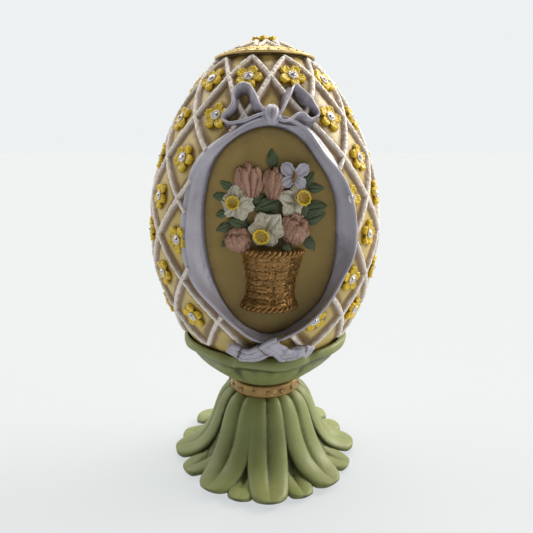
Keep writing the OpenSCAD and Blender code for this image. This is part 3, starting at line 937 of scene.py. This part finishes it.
def lying_ribbon(name, route, width, folds, node):
    """Flat ribbon that lies on the egg; each fold lifts it in a ridge that drops sharply."""
    n, m = 90, 15
    centre = [smooth_through(route, i / (n - 1)) for i in range(n)]
    points, wash_and_shade = np.zeros((n, m, 3)), np.zeros((n, m))
    for i, (az, z) in enumerate(centre):
        s = i / (n - 1)
        lift = 2.2 + 0.5 * sum(bell(s - f, 0.05) * (1.9 if s < f else 1.1) for f in folds)
        _, east, _, out = egg_frame(az, z)
        ahead = centre[min(i + 1, n - 1)]
        behind = centre[max(i - 1, 0)]
        along = (on_egg(*ahead) - on_egg(*behind)).normalized()
        side = along.cross(out).normalized()
        w = width * (1 + 0.12 * sin(5 * s + width))
        for j in range(m):
            b = -1 + 2 * j / (m - 1)
            hem = abs(b) > 0.75
            x = b * w / 2
            z_here = z + side.z * x
            az_here = az + degrees((side.dot(east) * x) / rad(z))
            h = lift * (1 - 0.15 * abs(b) ** 6) + 0.16 * sin(3.4 * b + 9 * s) + 0.35 * hem
            points[i, j] = on_egg(az_here, z_here, h)
            # Painted shade just past each fold, where the ribbon drops; the raised hems are painted lighter.
            near = max(bell(s - f - 0.035, 0.03) for f in folds)
            wash_and_shade[i, j] = 0.25 - 0.3 * hem + 0.8 * near + 0.15 * wobble(s * 9, b)
    form = Form()
    form.slab(points, 2.2, wash_and_shade)
    piece(name, form, lilac, "egg", [node])


def tails():
    west = [(3, 77.6), (-1.5, 76), (-6, 73.6), (-12, 71.2), (-18.5, 72.2), (-24, 74.4)]
    east = [(-2, 77.2), (2, 74.4), (6, 72), (11, 71.2), (17, 72), (22.5, 70.6)]
    lying_ribbon("ribbon_tail_west", west, 5.2, [0.3, 0.74], "ribbon_tail_left")
    lying_ribbon("ribbon_tail_east", east, 5.0, [0.45, 0.78], "ribbon_tail_right")


bow()
tails()

# ---------- basket

BASKET_AXIS_Y = 30.5
BASKET_LEAN = radians(4)
BASKET_TOP, BASKET_FOOT = 112.5, 88.4


def basket_point(phi, z, height):
    """Point on the front of the basket, leaning to the left at its foot."""
    t = (z - BASKET_FOOT) / (BASKET_TOP - BASKET_FOOT)
    r = smooth_through([(12.3,), (10.7,), (10.3,), (10.7,), (11.6,), (12.4,)], t)[0] + height
    x, y = r * sin(phi), -BASKET_AXIS_Y - r * cos(phi)
    dz = z - 100
    return Vector((x * cos(BASKET_LEAN) + dz * sin(BASKET_LEAN) - 0.2, y,
                   100 + dz * cos(BASKET_LEAN) - x * sin(BASKET_LEAN) * 0.35))


def basket():
    rows, brick = 7, 0.64
    n_u, n_v = 230, 150
    points, wash_and_shade = np.zeros((n_v, n_u, 3)), np.zeros((n_v, n_u))
    reach = radians(69)
    low, high = BASKET_FOOT + 1.6, BASKET_TOP - 1.4
    for i in range(n_v):
        z = low + (high - low) * i / (n_v - 1)
        v = (z - low) / (high - low) * rows
        row = min(int(v), rows - 1)
        fv = v - row
        for j in range(n_u):
            phi = -reach + 2 * reach * j / (n_u - 1)
            sag = 0.12 * wobble(phi * 3.1, row * 1.7)
            u = phi / brick + 0.5 * (row % 2) + 0.12 * wobble(row * 3.3, 7)
            fu = u - floor(u)
            # A brick is a flat band with a raised rim, and a pair of thin uprights parts it from the next.
            a, b = abs(2 * fu - 1), abs(2 * (fv + sag * 0.3) - 1)
            body = max(0, 1 - (a / 0.84) ** 8) * max(0, 1 - (b / 0.86) ** 8)
            rim = max(bell(a - 0.68, 0.10), bell(b - 0.62, 0.16)) * body
            stake = max(0, 1 - ((1 - a) / 0.10) ** 2) * max(0, 1 - (b / 0.95) ** 6) * 0.8
            grain = 0.16 * wobble(phi * 7, v * 5, row) + 0.08 * sin(v * 9.4 + wobble(phi * 2, row))
            h = max(body * (0.62 + 0.38 * rim + grain), stake)
            points[i, j] = basket_point(phi, z, -0.55 + 0.95 * h)
            # Darker in the low parts between the bricks, part wash and part painted shade; the raised rims
            # and uprights are lighter, as painted highlights.
            wash_and_shade[i, j] = clamp(1.32 - 1.2 * h + 0.3 * wobble(phi * 9, v * 6))
    form = Form()
    form.slab(points, 1.6, wash_and_shade)
    # The far side of the basket shows as a narrow strip on the left.
    points, wash_and_shade = np.zeros((30, 9, 3)), np.zeros((30, 9))
    for i in range(30):
        t = i / 29
        for j in range(9):
            b = j / 8
            x = -10.4 - 0.6 * t - (0.4 + 2.3 * t ** 1.4) * b
            lift = 1.0 + 0.9 * sin(pi * b) + 0.4 * abs(sin(5 * pi * t))
            points[i, j] = (x, -PANEL_Y - lift, 97 + 15 * t)
            wash_and_shade[i, j] = 0.5 + 0.4 * cos(10 * pi * t)
    form.slab(points, 0.8, wash_and_shade)
    piece("woven_basket", form, gold, "egg", ["basket"])


def rope(name, z, thick, twists, node, swell=0.6):
    """Two strands twisted round each other along the basket."""
    form = Form()
    reach = radians(71)
    n = 150

    def strand_point(phi, spin):
        return basket_point(phi, z + 0.52 * thick * sin(spin), swell + 0.42 * thick * cos(spin))

    for strand in range(2):
        rings = []
        for i in range(n):
            t = i / (n - 1)
            phi = -reach + 2 * reach * t
            spin = twists * 2 * pi * t + pi * strand
            centre = strand_point(phi, spin)
            ahead = strand_point(phi + 0.01, spin + 0.01 * twists * pi / reach)
            along = (ahead - centre).normalized()
            side = along.cross(Vector((0, 0, 1))).normalized()
            up = side.cross(along)
            r = thick * 0.56 * (1 - 0.55 * abs(2 * t - 1) ** 14) * (1 + 0.06 * wobble(i * 0.4, strand))
            # Painted shade: each strand is darker where it turns in behind the other, and on its underside.
            rings.append([(centre + side * r * cos(a) + up * r * sin(a),
                           clamp(0.55 - 0.62 * cos(spin) - 0.1 * sin(a))) for a in turns(12)])
        form.tube(rings)
    piece(name, form, gold, "egg", [node])


basket()
rope("basket_rim_rope", 112.0, 1.7, 7.5, "basket_rim")
rope("basket_foot_rope", 89.3, 1.45, 7, "basket_foot", 0.5)

# ---------- bouquet


def on_panel(x, z, lift, turn=0.0, tip=0.0, yaw=0.0):
    """Local X is to the right, Y up and Z out of the niche; turn spins it, tip and yaw lean it."""
    basis = Matrix(((1, 0, 0), (0, 0, -1), (0, 1, 0))).to_4x4()
    return (Matrix.Translation((x, -PANEL_Y - lift, z)) @ basis @ Matrix.Rotation(radians(yaw), 4, "Y")
            @ Matrix.Rotation(radians(tip), 4, "X") @ Matrix.Rotation(radians(turn), 4, "Z"))


def petal(length, width, widest, point, cup, arch, ridges, ridge, thick, seed, wave_edge=0.0, base=0.25,
          fold=0.0, crease=0.0, tilt=0.7):
    """Leaf or petal along local +Y from the origin; crease adds uneven lengthwise wrinkles."""
    n, m = 34, 33
    points, wash_and_shade = np.zeros((n, m, 3)), np.zeros((n, m))
    for i in range(n):
        s = i / (n - 1)
        if s < widest:
            w = base + (1 - base) * sin(pi / 2 * s / widest)
        else:
            w = cos(pi / 2 * (s - widest) / (1 - widest)) ** point
        w = max(w, 0.03) * width / 2
        for j in range(m):
            b = -1 + 2 * j / (m - 1)
            ruffle = wave_edge * abs(b) ** 3 * sin(13 * s + 2.1 * seed + (1.7 if b > 0 else 0))
            x = b * w * (1 + 0.05 * sin(17 * s + seed))
            y = length * (s - 0.06 * abs(b) ** 2 * sin(pi * s))
            groove = ridge * cos(pi * ridges * b)
            groove += crease * wobble(b * 4.5 + seed, s * 1.6, seed * 0.7)
            groove += 0.5 * crease * wobble(b * 11, s * 2.5, seed)
            z = arch * sin(pi * (0.12 + tilt * s)) + cup * b * b * sin(pi * s)
            z += groove * min(1, 3 * s) + ruffle - fold * bell(b, 0.13) * min(1, 4 * s)
            points[i, j] = (x, y, z)
            # Painted shade in the grooves, along the middle fold and towards the base; the edges are painted
            # lighter, as a highlight.
            wash_and_shade[i, j] = 0.28 - 1.6 * groove + 0.55 * (1 - s) ** 3 + 1.2 * fold * bell(b, 0.16)
            wash_and_shade[i, j] -= 0.25 * (abs(b) > 0.85)
    form = Form()
    form.slab(points, thick, wash_and_shade)
    return form


def merged(parts):
    form = Form()
    for part, place in parts:
        form.add(part, place)
    return form


def daffodil(name, x, z, lift, r, turn, tip, yaw, node, seed):
    parts = []
    rng = random.Random(seed)
    for k in range(6):
        a = turn + 60 * k + rng.uniform(-5, 5)
        part = petal(r * rng.uniform(0.92, 1.08), r * 0.92, widest=0.58, point=0.7, cup=-0.5, arch=0.5,
                     ridges=2, ridge=0.08, thick=0.55, seed=seed + k, wave_edge=0.4, crease=0.28)
        parts.append((part, on_panel(x, z, lift + 0.35 * (k % 2), a, tip, yaw)))
    piece(name, merged(parts), ivory, "egg", [node])


def daffodil_cup(form, x, z, lift, r, tip, yaw, seed):
    """Frilled trumpet with a rolled rim and a hollow inside."""
    place = on_panel(x, z, lift, 0, tip, yaw)
    rings = []
    outline = [(0.55, 0.0), (0.72, 0.5), (0.85, 1.2), (0.98, 1.9), (1.06, 2.25), (1.0, 2.5), (0.86, 2.4),
               (0.72, 2.1), (0.58, 1.75), (0.36, 1.6), (0.08, 1.55)]
    for i, (f, h) in enumerate(outline):
        ring = []
        for a in turns(48):
            reach = r * f * (1 + 0.05 * sin(9 * a + seed) * clamp((f - 0.7) * 3))
            # Painted shade: the trumpet is darker inside its hollow and at its foot.
            tone = clamp(0.15 + 0.5 * (i > 6) + 0.35 * (i < 2) + 0.15 * sin(9 * a + seed))
            ring.append((place @ Vector((reach * cos(a), reach * sin(a), h * r / 3.0)), tone))
        rings.append(ring)
    form.tube(rings)


def bud(name, x, z, lift, length, width, turn, node, seed, layout, point):
    """Flower head of creased petals: each has a shift, width, length, lean and lift of its own."""
    parts = []
    for k, (shift, w, tall, lean, up) in enumerate(layout):
        part = petal(length * tall, width * w, widest=0.62, point=point, cup=-1.7, arch=2, ridges=2,
                     ridge=0.05, thick=0.7, seed=seed + 3 * k, wave_edge=0.45, base=0.45, crease=0.34,
                     tilt=0.62)
        parts.append((part, on_panel(x, z, lift + up, turn + lean)
                      @ Matrix.Translation((shift * width, -length / 2, 0))))
    piece(name, merged(parts), pink, "egg", [node])


def tulip(name, x, z, lift, length, width, turn, node, seed):
    bud(name, x, z, lift, length, width, turn, node, seed, [
        (-0.20, 0.55, 1.0, 15, 0.0), (0.20, 0.55, 0.97, -12, 0.1), (0.02, 0.5, 1.04, 2, 0.35),
        (-0.12, 0.46, 0.93, 7, 0.9), (0.12, 0.44, 0.88, -5, 1.1),
    ], 0.95)


def rose(name, x, z, lift, r, turn, node, seed):
    bud(name, x, z, lift, 1.9 * r, 2 * r, turn, node, seed, [
        (0.0, 0.62, 1.0, 0, 0.0), (-0.16, 0.62, 0.95, 24, 0.35), (0.16, 0.62, 0.95, -24, 0.55),
        (-0.10, 0.56, 0.78, 10, 1.1), (0.08, 0.66, 0.66, -8, 1.6),
    ], 0.45)


def leaves():
    # Middle of the base, length, width, direction in degrees from straight up, lift
    spots = [
        (0.5, 145.4, 7.4, 4.2, 4, 1.6), (-15.4, 137.6, 6.6, 3.6, 60, 1.2), (-17.4, 134.2, 6.4, 3.8, 82, 1.4),
        (-17.2, 128.6, 6, 3.6, 106, 1.2), (-16.5, 123.4, 6.2, 3.8, 112, 1.4), (-16, 117.6, 6.4, 3.4, 122, 1),
        (-9.2, 122.6, 8.6, 4.6, 70, 2.2), (-9.8, 127.4, 7, 3.8, 120, 1.8), (3.8, 133.8, 11.5, 6, 112, 2.2),
        (-2.4, 127.6, 6.4, 4.4, -62, 2), (12.8, 138.2, 7.4, 4.2, -32, 1.4), (14.4, 137.8, 6.2, 4, -92, 1.6),
        (13.4, 129, 8.8, 6.2, -80, 1.8), (12.8, 124.6, 9.6, 6, -70, 1.5), (11.6, 125.4, 6, 3.4, -20, 2.2),
        (13.4, 118.8, 7.6, 4.4, -148, 1.3), (5.2, 116.4, 5.2, 3.2, 188, 6.4), (-3, 135, 6, 4, 120, 1.6),
    ]
    parts = []
    for k, (x, z, length, width, turn, lift) in enumerate(spots):
        part = petal(length, width, widest=0.45, point=0.85, cup=-0.35, arch=0.9, ridges=1, ridge=0.05,
                     thick=0.6, seed=k, wave_edge=0.25, base=0.2, fold=0.42)
        parts.append((part, on_panel(x, z, lift, turn)))
    piece("bouquet_foliage", merged(parts), leaf_paint, "egg", ["bouquet_leaves"])


def butterfly():
    place = on_panel(8.5, 142.2, 4.6, -4, 0, 0)
    wings = Form()
    for side in (-1, 1):
        for turn, length, width in ((46, 7.0, 5.2), (128, 5.6, 4.6)):
            part = petal(length, width, widest=0.66, point=0.42, cup=0.35, arch=0.35, ridges=2, ridge=0.05,
                         thick=0.5, seed=turn, base=0.22)
            wings.add(part, place @ Matrix.Rotation(radians(-side * turn), 4, "Z"))
    piece("butterfly_wing_set", wings, lilac, "egg", ["butterfly_wings"])
    body = Form()
    rings = []
    for i in range(22):
        t = i / 21
        r = 0.62 * sin(pi * (0.06 + 0.88 * t)) ** 0.6 * (1 + 0.14 * cos(40 * t))
        rings.append([(place @ Vector((r * cos(a), -2.8 + 5.4 * t, 0.9 + r * sin(a))),
                       0.25 - 0.35 * cos(40 * t)) for a in turns(12)])
    body.tube(rings)
    piece("butterfly_trunk", body, gold, "egg", ["butterfly_body"])


def bouquet():
    leaves()
    tulip("tulip_west", -8.9, 140.6, 1.7, 12.6, 11.4, 4, "tulip_left", 3)
    tulip("tulip_east", 0.9, 139.6, 2.4, 11.6, 8.8, -6, "tulip_right", 8)
    daffodil("daffodil_west", -13.6, 132.0, 2.2, 7.0, 12, 0, -8, "daffodil_left", 21)
    daffodil("daffodil_east", 9.6, 132.2, 2.6, 7.0, 4, 0, 10, "daffodil_right", 34)
    daffodil("daffodil_south", -2.2, 121.6, 4.2, 7.4, 25, 8, -6, "daffodil_front", 47)
    cups = Form()
    daffodil_cup(cups, -15.2, 132.4, 3.1, 2.7, 0, -16, 1)
    daffodil_cup(cups, 11.8, 133.6, 3.4, 3.0, -14, 16, 2)
    daffodil_cup(cups, -3.9, 120.0, 5.2, 3.3, 20, -18, 3)
    piece("daffodil_trumpets", cups, yellow, "egg", ["daffodil_cups"])
    rose("rose_west", -13.4, 117.4, 1.6, 5.2, 30, "rose_left", 5)
    rose("rose_east", 8.9, 121.7, 2.6, 6.3, -12, "rose_right", 9)
    butterfly()


bouquet()

# ---------- cap


def lathe(profile, n, wash_and_shade=lambda az, z: 0.1):
    """Solid of revolution from a closed list of (radius, height); the last argument gives the darkening, wash
    and painted shade, from an azimuth and a height.
    """
    form = Form()
    form.tube([[(round_axis(r, a, z), wash_and_shade(degrees(a), z)) for r, z in profile] for a in turns(n)], loop=True)
    return form


def cap():
    low = SEAM_Z + 0.4
    heights = [low + (CROWN_Z - low) * sin(pi / 2 * i / 30) for i in range(31)]
    outside = [(max(rad(z), 0.05), z) for z in heights]
    profile = [(0.05, SEAM_Z - 5), (15.2, SEAM_Z - 5), (15.7, SEAM_Z - 4.4), (15.7, low)] + outside

    def dome_wash(az, _):
        gap = abs(az % (2 * STEP_AZ) - STEP_AZ)
        return 0.55 * clamp(1 - abs(gap - 8) / 7) + 0.15

    piece("cap_dome_shell", lathe(profile, 200, dome_wash), cream, "cap", ["cap_dome"])
    top = SEAM_Z + 3.2
    r0, r1 = 21.9, rad(top, 1.3)

    def band_slope(t):
        return r1 + (r0 - r1) * t, top - 0.3 + (low + 1.1 - top + 0.3) * t

    profile = [(rad(z, 0.15), z) for z in (low, SEAM_Z + 1.2, SEAM_Z + 2.2, top)]
    profile += [(r1 - 0.5, top + 0.35), (r1 + 0.25, top + 0.15), (r1 + 0.55, top - 0.25)]
    profile += [band_slope(t) for t in (0.15, 0.35, 0.55, 0.75, 0.9)]
    profile += [(r0 + 0.25, low + 0.9), (r0 + 0.15, low + 0.25), (r0 - 0.3, low)]
    studs = 28

    # Painted shadow round each stud, painted shade under the band's lower edge, and an even light wash
    # elsewhere.
    def band_painted_shadow(az, z):
        gap = abs((az + 180 / studs) % (360 / studs) - 180 / studs)
        spot = (bell(gap * 0.36, 1) * bell(z - SEAM_Z - 2.1, 0.8)) ** 0.9
        return clamp(0.12 + 0.95 * spot + (0.8 if z < low + 0.15 else 0))

    piece("cap_gold_band", lathe(profile, 336, band_painted_shadow), pale_gold, "cap", ["cap_band"])
    beads = Form()
    r, z = band_slope(0.48)
    for a in turns(studs):
        beads.ball(round_axis(r, a, z + 0.1), 0.5, 7, 12)
    piece("cap_band_studs", beads, pale_gold, "cap", ["cap_studs"])
    for way, hand in (("east", -1), ("west", 1)):
        form = Form()
        for k in range(STRIPS):
            rings = []
            for i in range(27):
                t = i / 26
                az = 2 * STEP_AZ * k + hand * ((STEP_AZ - 0.6) * (1 - t) + 1.2 * t)
                z = SEAM_Z + 3.6 + (CROWN_Z - 0.9 - SEAM_Z - 3.6) * t
                point, _, _, out = egg_frame(az, z)
                ahead = on_egg(az - hand * 0.5, z + 0.06)
                along = (ahead - point).normalized()
                side = along.cross(out).normalized()
                bead = abs(sin(5 * pi * t))
                w, h = 0.75 + 0.12 * bead, 0.85 + 0.25 * bead
                # Painted shade: each strip is darker on its flanks and underside than on its top.
                rings.append([
                    (point + side * w * cos(a) + out * (h * sin(a) * (1 if sin(a) > 0 else 0.3)),
                     clamp(0.6 - 0.8 * sin(a)) * 0.8) for a in turns(14)
                ])
            form.tube(rings)
        piece(f"cap_strips_{way}", form, white, "cap", [f"cap_lattice_{way}"])
    form = Form()
    form.add(blossom(6.2, 6, 77, 2.0), Matrix.Translation((0, 0, CROWN_Z - 0.1)))
    form.ball((0, 0, CROWN_Z + 1.4), 1.5, 8, 16, 0.35, 0.7)
    piece("cap_crown_flower", form, yellow, "cap", ["cap_flower"])


cap()

# ---------- pedestal

# Height of the felt under the casting, with a hair's gap
FELT = 1.25
# Azimuth, reach and breadth of each leaf
LONG_LEAVES = [
    (-1.7, 1.03, 1.08), (38.5, 1.0, 1.2), (85.5, 0.97, 1.3), (132, 0.98, 1.3), (180, 1.0, 1.3),
    (-133, 0.98, 1.3), (-86.5, 0.97, 1.3), (-37.5, 1.0, 1.2),
]
UNDER_LEAVES = [
    (-19, 1.02, 1), (18, 1.01, 1), (60.5, 0.98, 1), (110, 0.96, 1), (156, 0.97, 1), (-156, 0.97, 1),
    (-106, 0.96, 1), (-62.5, 0.98, 1),
]
# Places across a leaf, closest together at its groove and its edges
LEAF_ACROSS = [0, 0.04, 0.09, 0.15, 0.23, 0.34, 0.47, 0.6, 0.72, 0.82, 0.9, 0.955, 0.985, 1]


def skirt_leaf(form, az, reach, breadth, stations, thick, groove_from, groove_to, seed):
    """Plump leaf wrapped round the bell: its stations are (radius, height, width) of its upper face."""
    n, tip, deepest = 72, 0.84, 1.15
    across = [-b for b in LEAF_ACROSS[:0:-1]] + LEAF_ACROSS
    rings = []
    for i in range(n):
        s = i / (n - 1)
        r, z, w = smooth_through(stations, s)
        r2, z2, _ = smooth_through(stations, min(s + 0.01, 1))
        r1, z1, _ = smooth_through(stations, max(s - 0.01, 0))
        slope = atan2(z2 - z1, r2 - r1)
        nr, nz = -sin(slope), cos(slope)
        # The tip is rounded off in the last part of the length.
        end = sqrt(max(0.0, 1 - max(0, (s - tip) / (1 - tip)) ** 2))
        r *= 1 + (reach - 1) * s ** 2
        w = max(w * (1 + (breadth - 1) * clamp(1.3 - 1.5 * s)) * (0.25 + 0.75 * end), 1.0)
        body = thick * (0.25 + 0.75 * end)
        groove = deepest * clamp((s - groove_from) / 0.05) * clamp((groove_to - s) / 0.25)
        ring = []

        def put(b, h, tone):
            point = round_axis(r + nr * h, radians(az + degrees(b * w / 2 / r)), max(z + nz * h, FELT))
            ring.append((point, clamp(tone + 0.07 * wobble(s * 7, b * 2, seed))))

        for b in across:
            v = exp(-((abs(b * w / 2) / 1.5) ** 1.2))
            arch = (1 - abs(b) ** 6) ** 0.5
            swell = (0.4 - 0.2 * s) * sin(pi * min(1.0, abs(b) ** 0.85))
            # The edges are shallow where the leaf lies on the bell, and deep where it ends on the table.
            drop = body * (0.42 + 0.33 * clamp((s - 0.6) / 0.25))
            # Painted shade: the leaf darkens at its edges, where it meets its neighbours, and along its
            # groove.
            put(b, drop * (arch - 1) + swell * end - groove * v,
                0.08 + 0.85 * clamp((abs(b) - 0.88) / 0.12) * (1 - 0.55 * s) + 0.34 * v * groove / deepest)
        # The underside is painted dark, as shade.
        for b in across[-2:0:-3]:
            put(b, -body * (0.75 + 0.25 * (1 - b * b)), 0.8)
        rings.append(ring)
    form.tube(rings)


def skirt():
    core = [(0.05, FELT), (35, FELT), (35.5, 3.4), (31.6, 7.4), (28, 12.6), (25.7, 18.4), (23.9, 24.6),
            (22, 29.6), (19.4, 33.2), (16.6, 35.3), (14.2, 36.3), (13.6, 40.6), (0.05, 40.6)]
    # The core is painted darker all over, as shade in the gaps between the leaves.
    piece("skirt_heart", lathe(core, 120, lambda az, z: 0.6), green, "stand", ["skirt_core"])
    form = Form()
    stations = [(14.6, 36.9, 9.6), (17.2, 36.6, 11.6), (20.4, 34.6, 13.8), (23, 30.8, 15.8), (25, 26, 17.2),
                (27, 20.4, 18.2), (29.8, 14.6, 18.9), (33.8, 9.6, 19.2), (38.4, 6.6, 18.6), (42.6, 5.2, 17.4),
                (45.2, 4.6, 15.4), (47.4, 4.2, 12.4)]
    for k, leaf in enumerate(LONG_LEAVES):
        skirt_leaf(form, *leaf, stations, 3.2, 0.02, 0.84, k)
    piece("long_skirt_leaves", form, green, "stand", ["long_leaves"])
    form = Form()
    stations = [(23.5, 20, 9), (25.6, 14.5, 12), (28.6, 9.8, 14.4), (33, 6.4, 15.8), (37.8, 4.6, 15.6),
                (42, 3.9, 13.4), (44.6, 3.6, 10.8), (46.2, 3.4, 8)]
    for k, leaf in enumerate(UNDER_LEAVES):
        skirt_leaf(form, *leaf, stations, 2.6, 0.05, 0.72, 20 + k)
    piece("short_skirt_leaves", form, green, "stand", ["under_leaves"])
    disc = [(0.05, 0), (32.7, 0), (33, 0.3), (33, 0.95), (32.7, 1.2), (0.05, 1.2)]
    piece("felt_disc", lathe(disc, 128), felt, "stand", ["base_felt"])


def collar():
    r = 17.3
    studs = 16
    profile = [(13.6, 36.6), (r - 0.9, 36.45), (r - 0.2, 36.7), (r + 0.05, 37.2), (r, 37.9), (r + 0.1, 39.5),
               (r, 41.2), (r + 0.05, 41.9), (r - 0.2, 42.4), (r - 0.9, 42.65), (13.6, 42.4)]

    # An even wash with random streaks, painted shadow round each stud and painted shade under the band.
    def ring_darkening(az, z):
        gap = abs((az + 180 / studs) % (360 / studs) - 180 / studs)
        spot = bell(gap * 0.3, 1.25) * bell(z - 39.5, 1.4)
        return clamp(0.32 + 0.4 * spot + 0.2 * (z < 37) + 0.3 * wobble(az * 0.07, z * 0.5))

    piece("collar_band", lathe(profile, 256, ring_darkening), collar_gold, "stand", ["collar_ring"])
    form = Form()
    for a in turns(studs):
        form.ball(round_axis(r + 0.15, a, 39.6), 0.8)
    piece("collar_beads", form, collar_gold, "stand", ["collar_studs"])


def cup():
    """Calyx of six lobes: each rolls its lip outwards a little and meets the next in a crease."""
    n = 360
    outside = [(13.6, 41.5), (16.5, 43.0), (21.8, 46.1), (26.6, 50.0), (30.6, 53.6), (33.6, 57.0)]
    rings = []
    for i in range(n):
        az = 360 * i / n
        q = radians(az)
        seam = abs((az + 3 * sin(3 * q)) % 60 - 30)
        notch = bell(seam, 3.6)
        rim = 65.9 + 0.6 * (1 - cos(3 * q)) - 1.1 * notch
        front_droop = bell(signed(az), 27)
        lip = 1.9 + 0.45 * cos(6 * q) + 0.5 * front_droop - 0.7 * notch + 0.2 * wobble(az * 0.1, 5)
        droop = 1.0 + 1.5 * front_droop + 0.5 * sin(9 * q) + 0.3 * wobble(az * 0.08, 2)
        edge = rad(rim) + 1.05
        # The third number is how dark a place is painted: painted shade inside the rim by the egg and under
        # the rolled lip, in the creases between lobes and towards the foot; the veins are the cup's own
        # pattern.
        section = [(0.05, 44, 0.6), (12, 44.3, 0.6)]
        section += [(rad(z, 1.05), z, 0.7) for z in (46, 49, 53, 57, 61)]
        section += [
            (edge - 0.35, rim - 1.6, 0.9), (edge, rim - 0.6, 0.8), (edge + 0.2, rim - 0.12, 0.35),
            (edge + 0.6, rim, 0.05), (edge + lip * 0.7, rim - 0.25 * droop, 0),
            (edge + lip, rim - 0.7 * droop, 0), (edge + lip + 0.15, rim - droop - 1.0, 0),
            (edge + lip - 0.1, rim - droop - 2.2, 0.2),
            (edge + 0.5 * lip, rim - droop - 3.2, 0.75), (edge - 0.5, rim - droop - 3.9, 0.8),
        ]
        for r, z in reversed(outside):
            t = clamp((z - 44) / 14)
            fold = 0.6 * cos(6 * q) * t - 1.0 * notch * t
            vein = 0.14 * cos(30 * q) * t
            section.append((r + fold, z, clamp(0.2 + 0.65 * notch * t + vein + 0.35 * clamp((46 - z) / 4))))
        section.append((0.05, 41.5, 0.5))
        rings.append([(round_axis(r, q, z), tone) for r, z, tone in section])
    form = Form()
    form.tube(rings, loop=True)
    piece("leaf_cup", form, green, "stand", ["cup_bowl", "cup_rim"])


def pad():
    top = [(rad(44 + i, 0.1), 44 + i) for i in range(7)]
    bottom = [(rad(44 + i, 0.9), 44 + i) for i in range(7)]
    piece("cup_felt_pad", lathe(bottom + top[::-1], 128), felt, "pad", ["cup_pad"])


skirt()
collar()
cup()
pad()

bpy.context.view_layer.update()
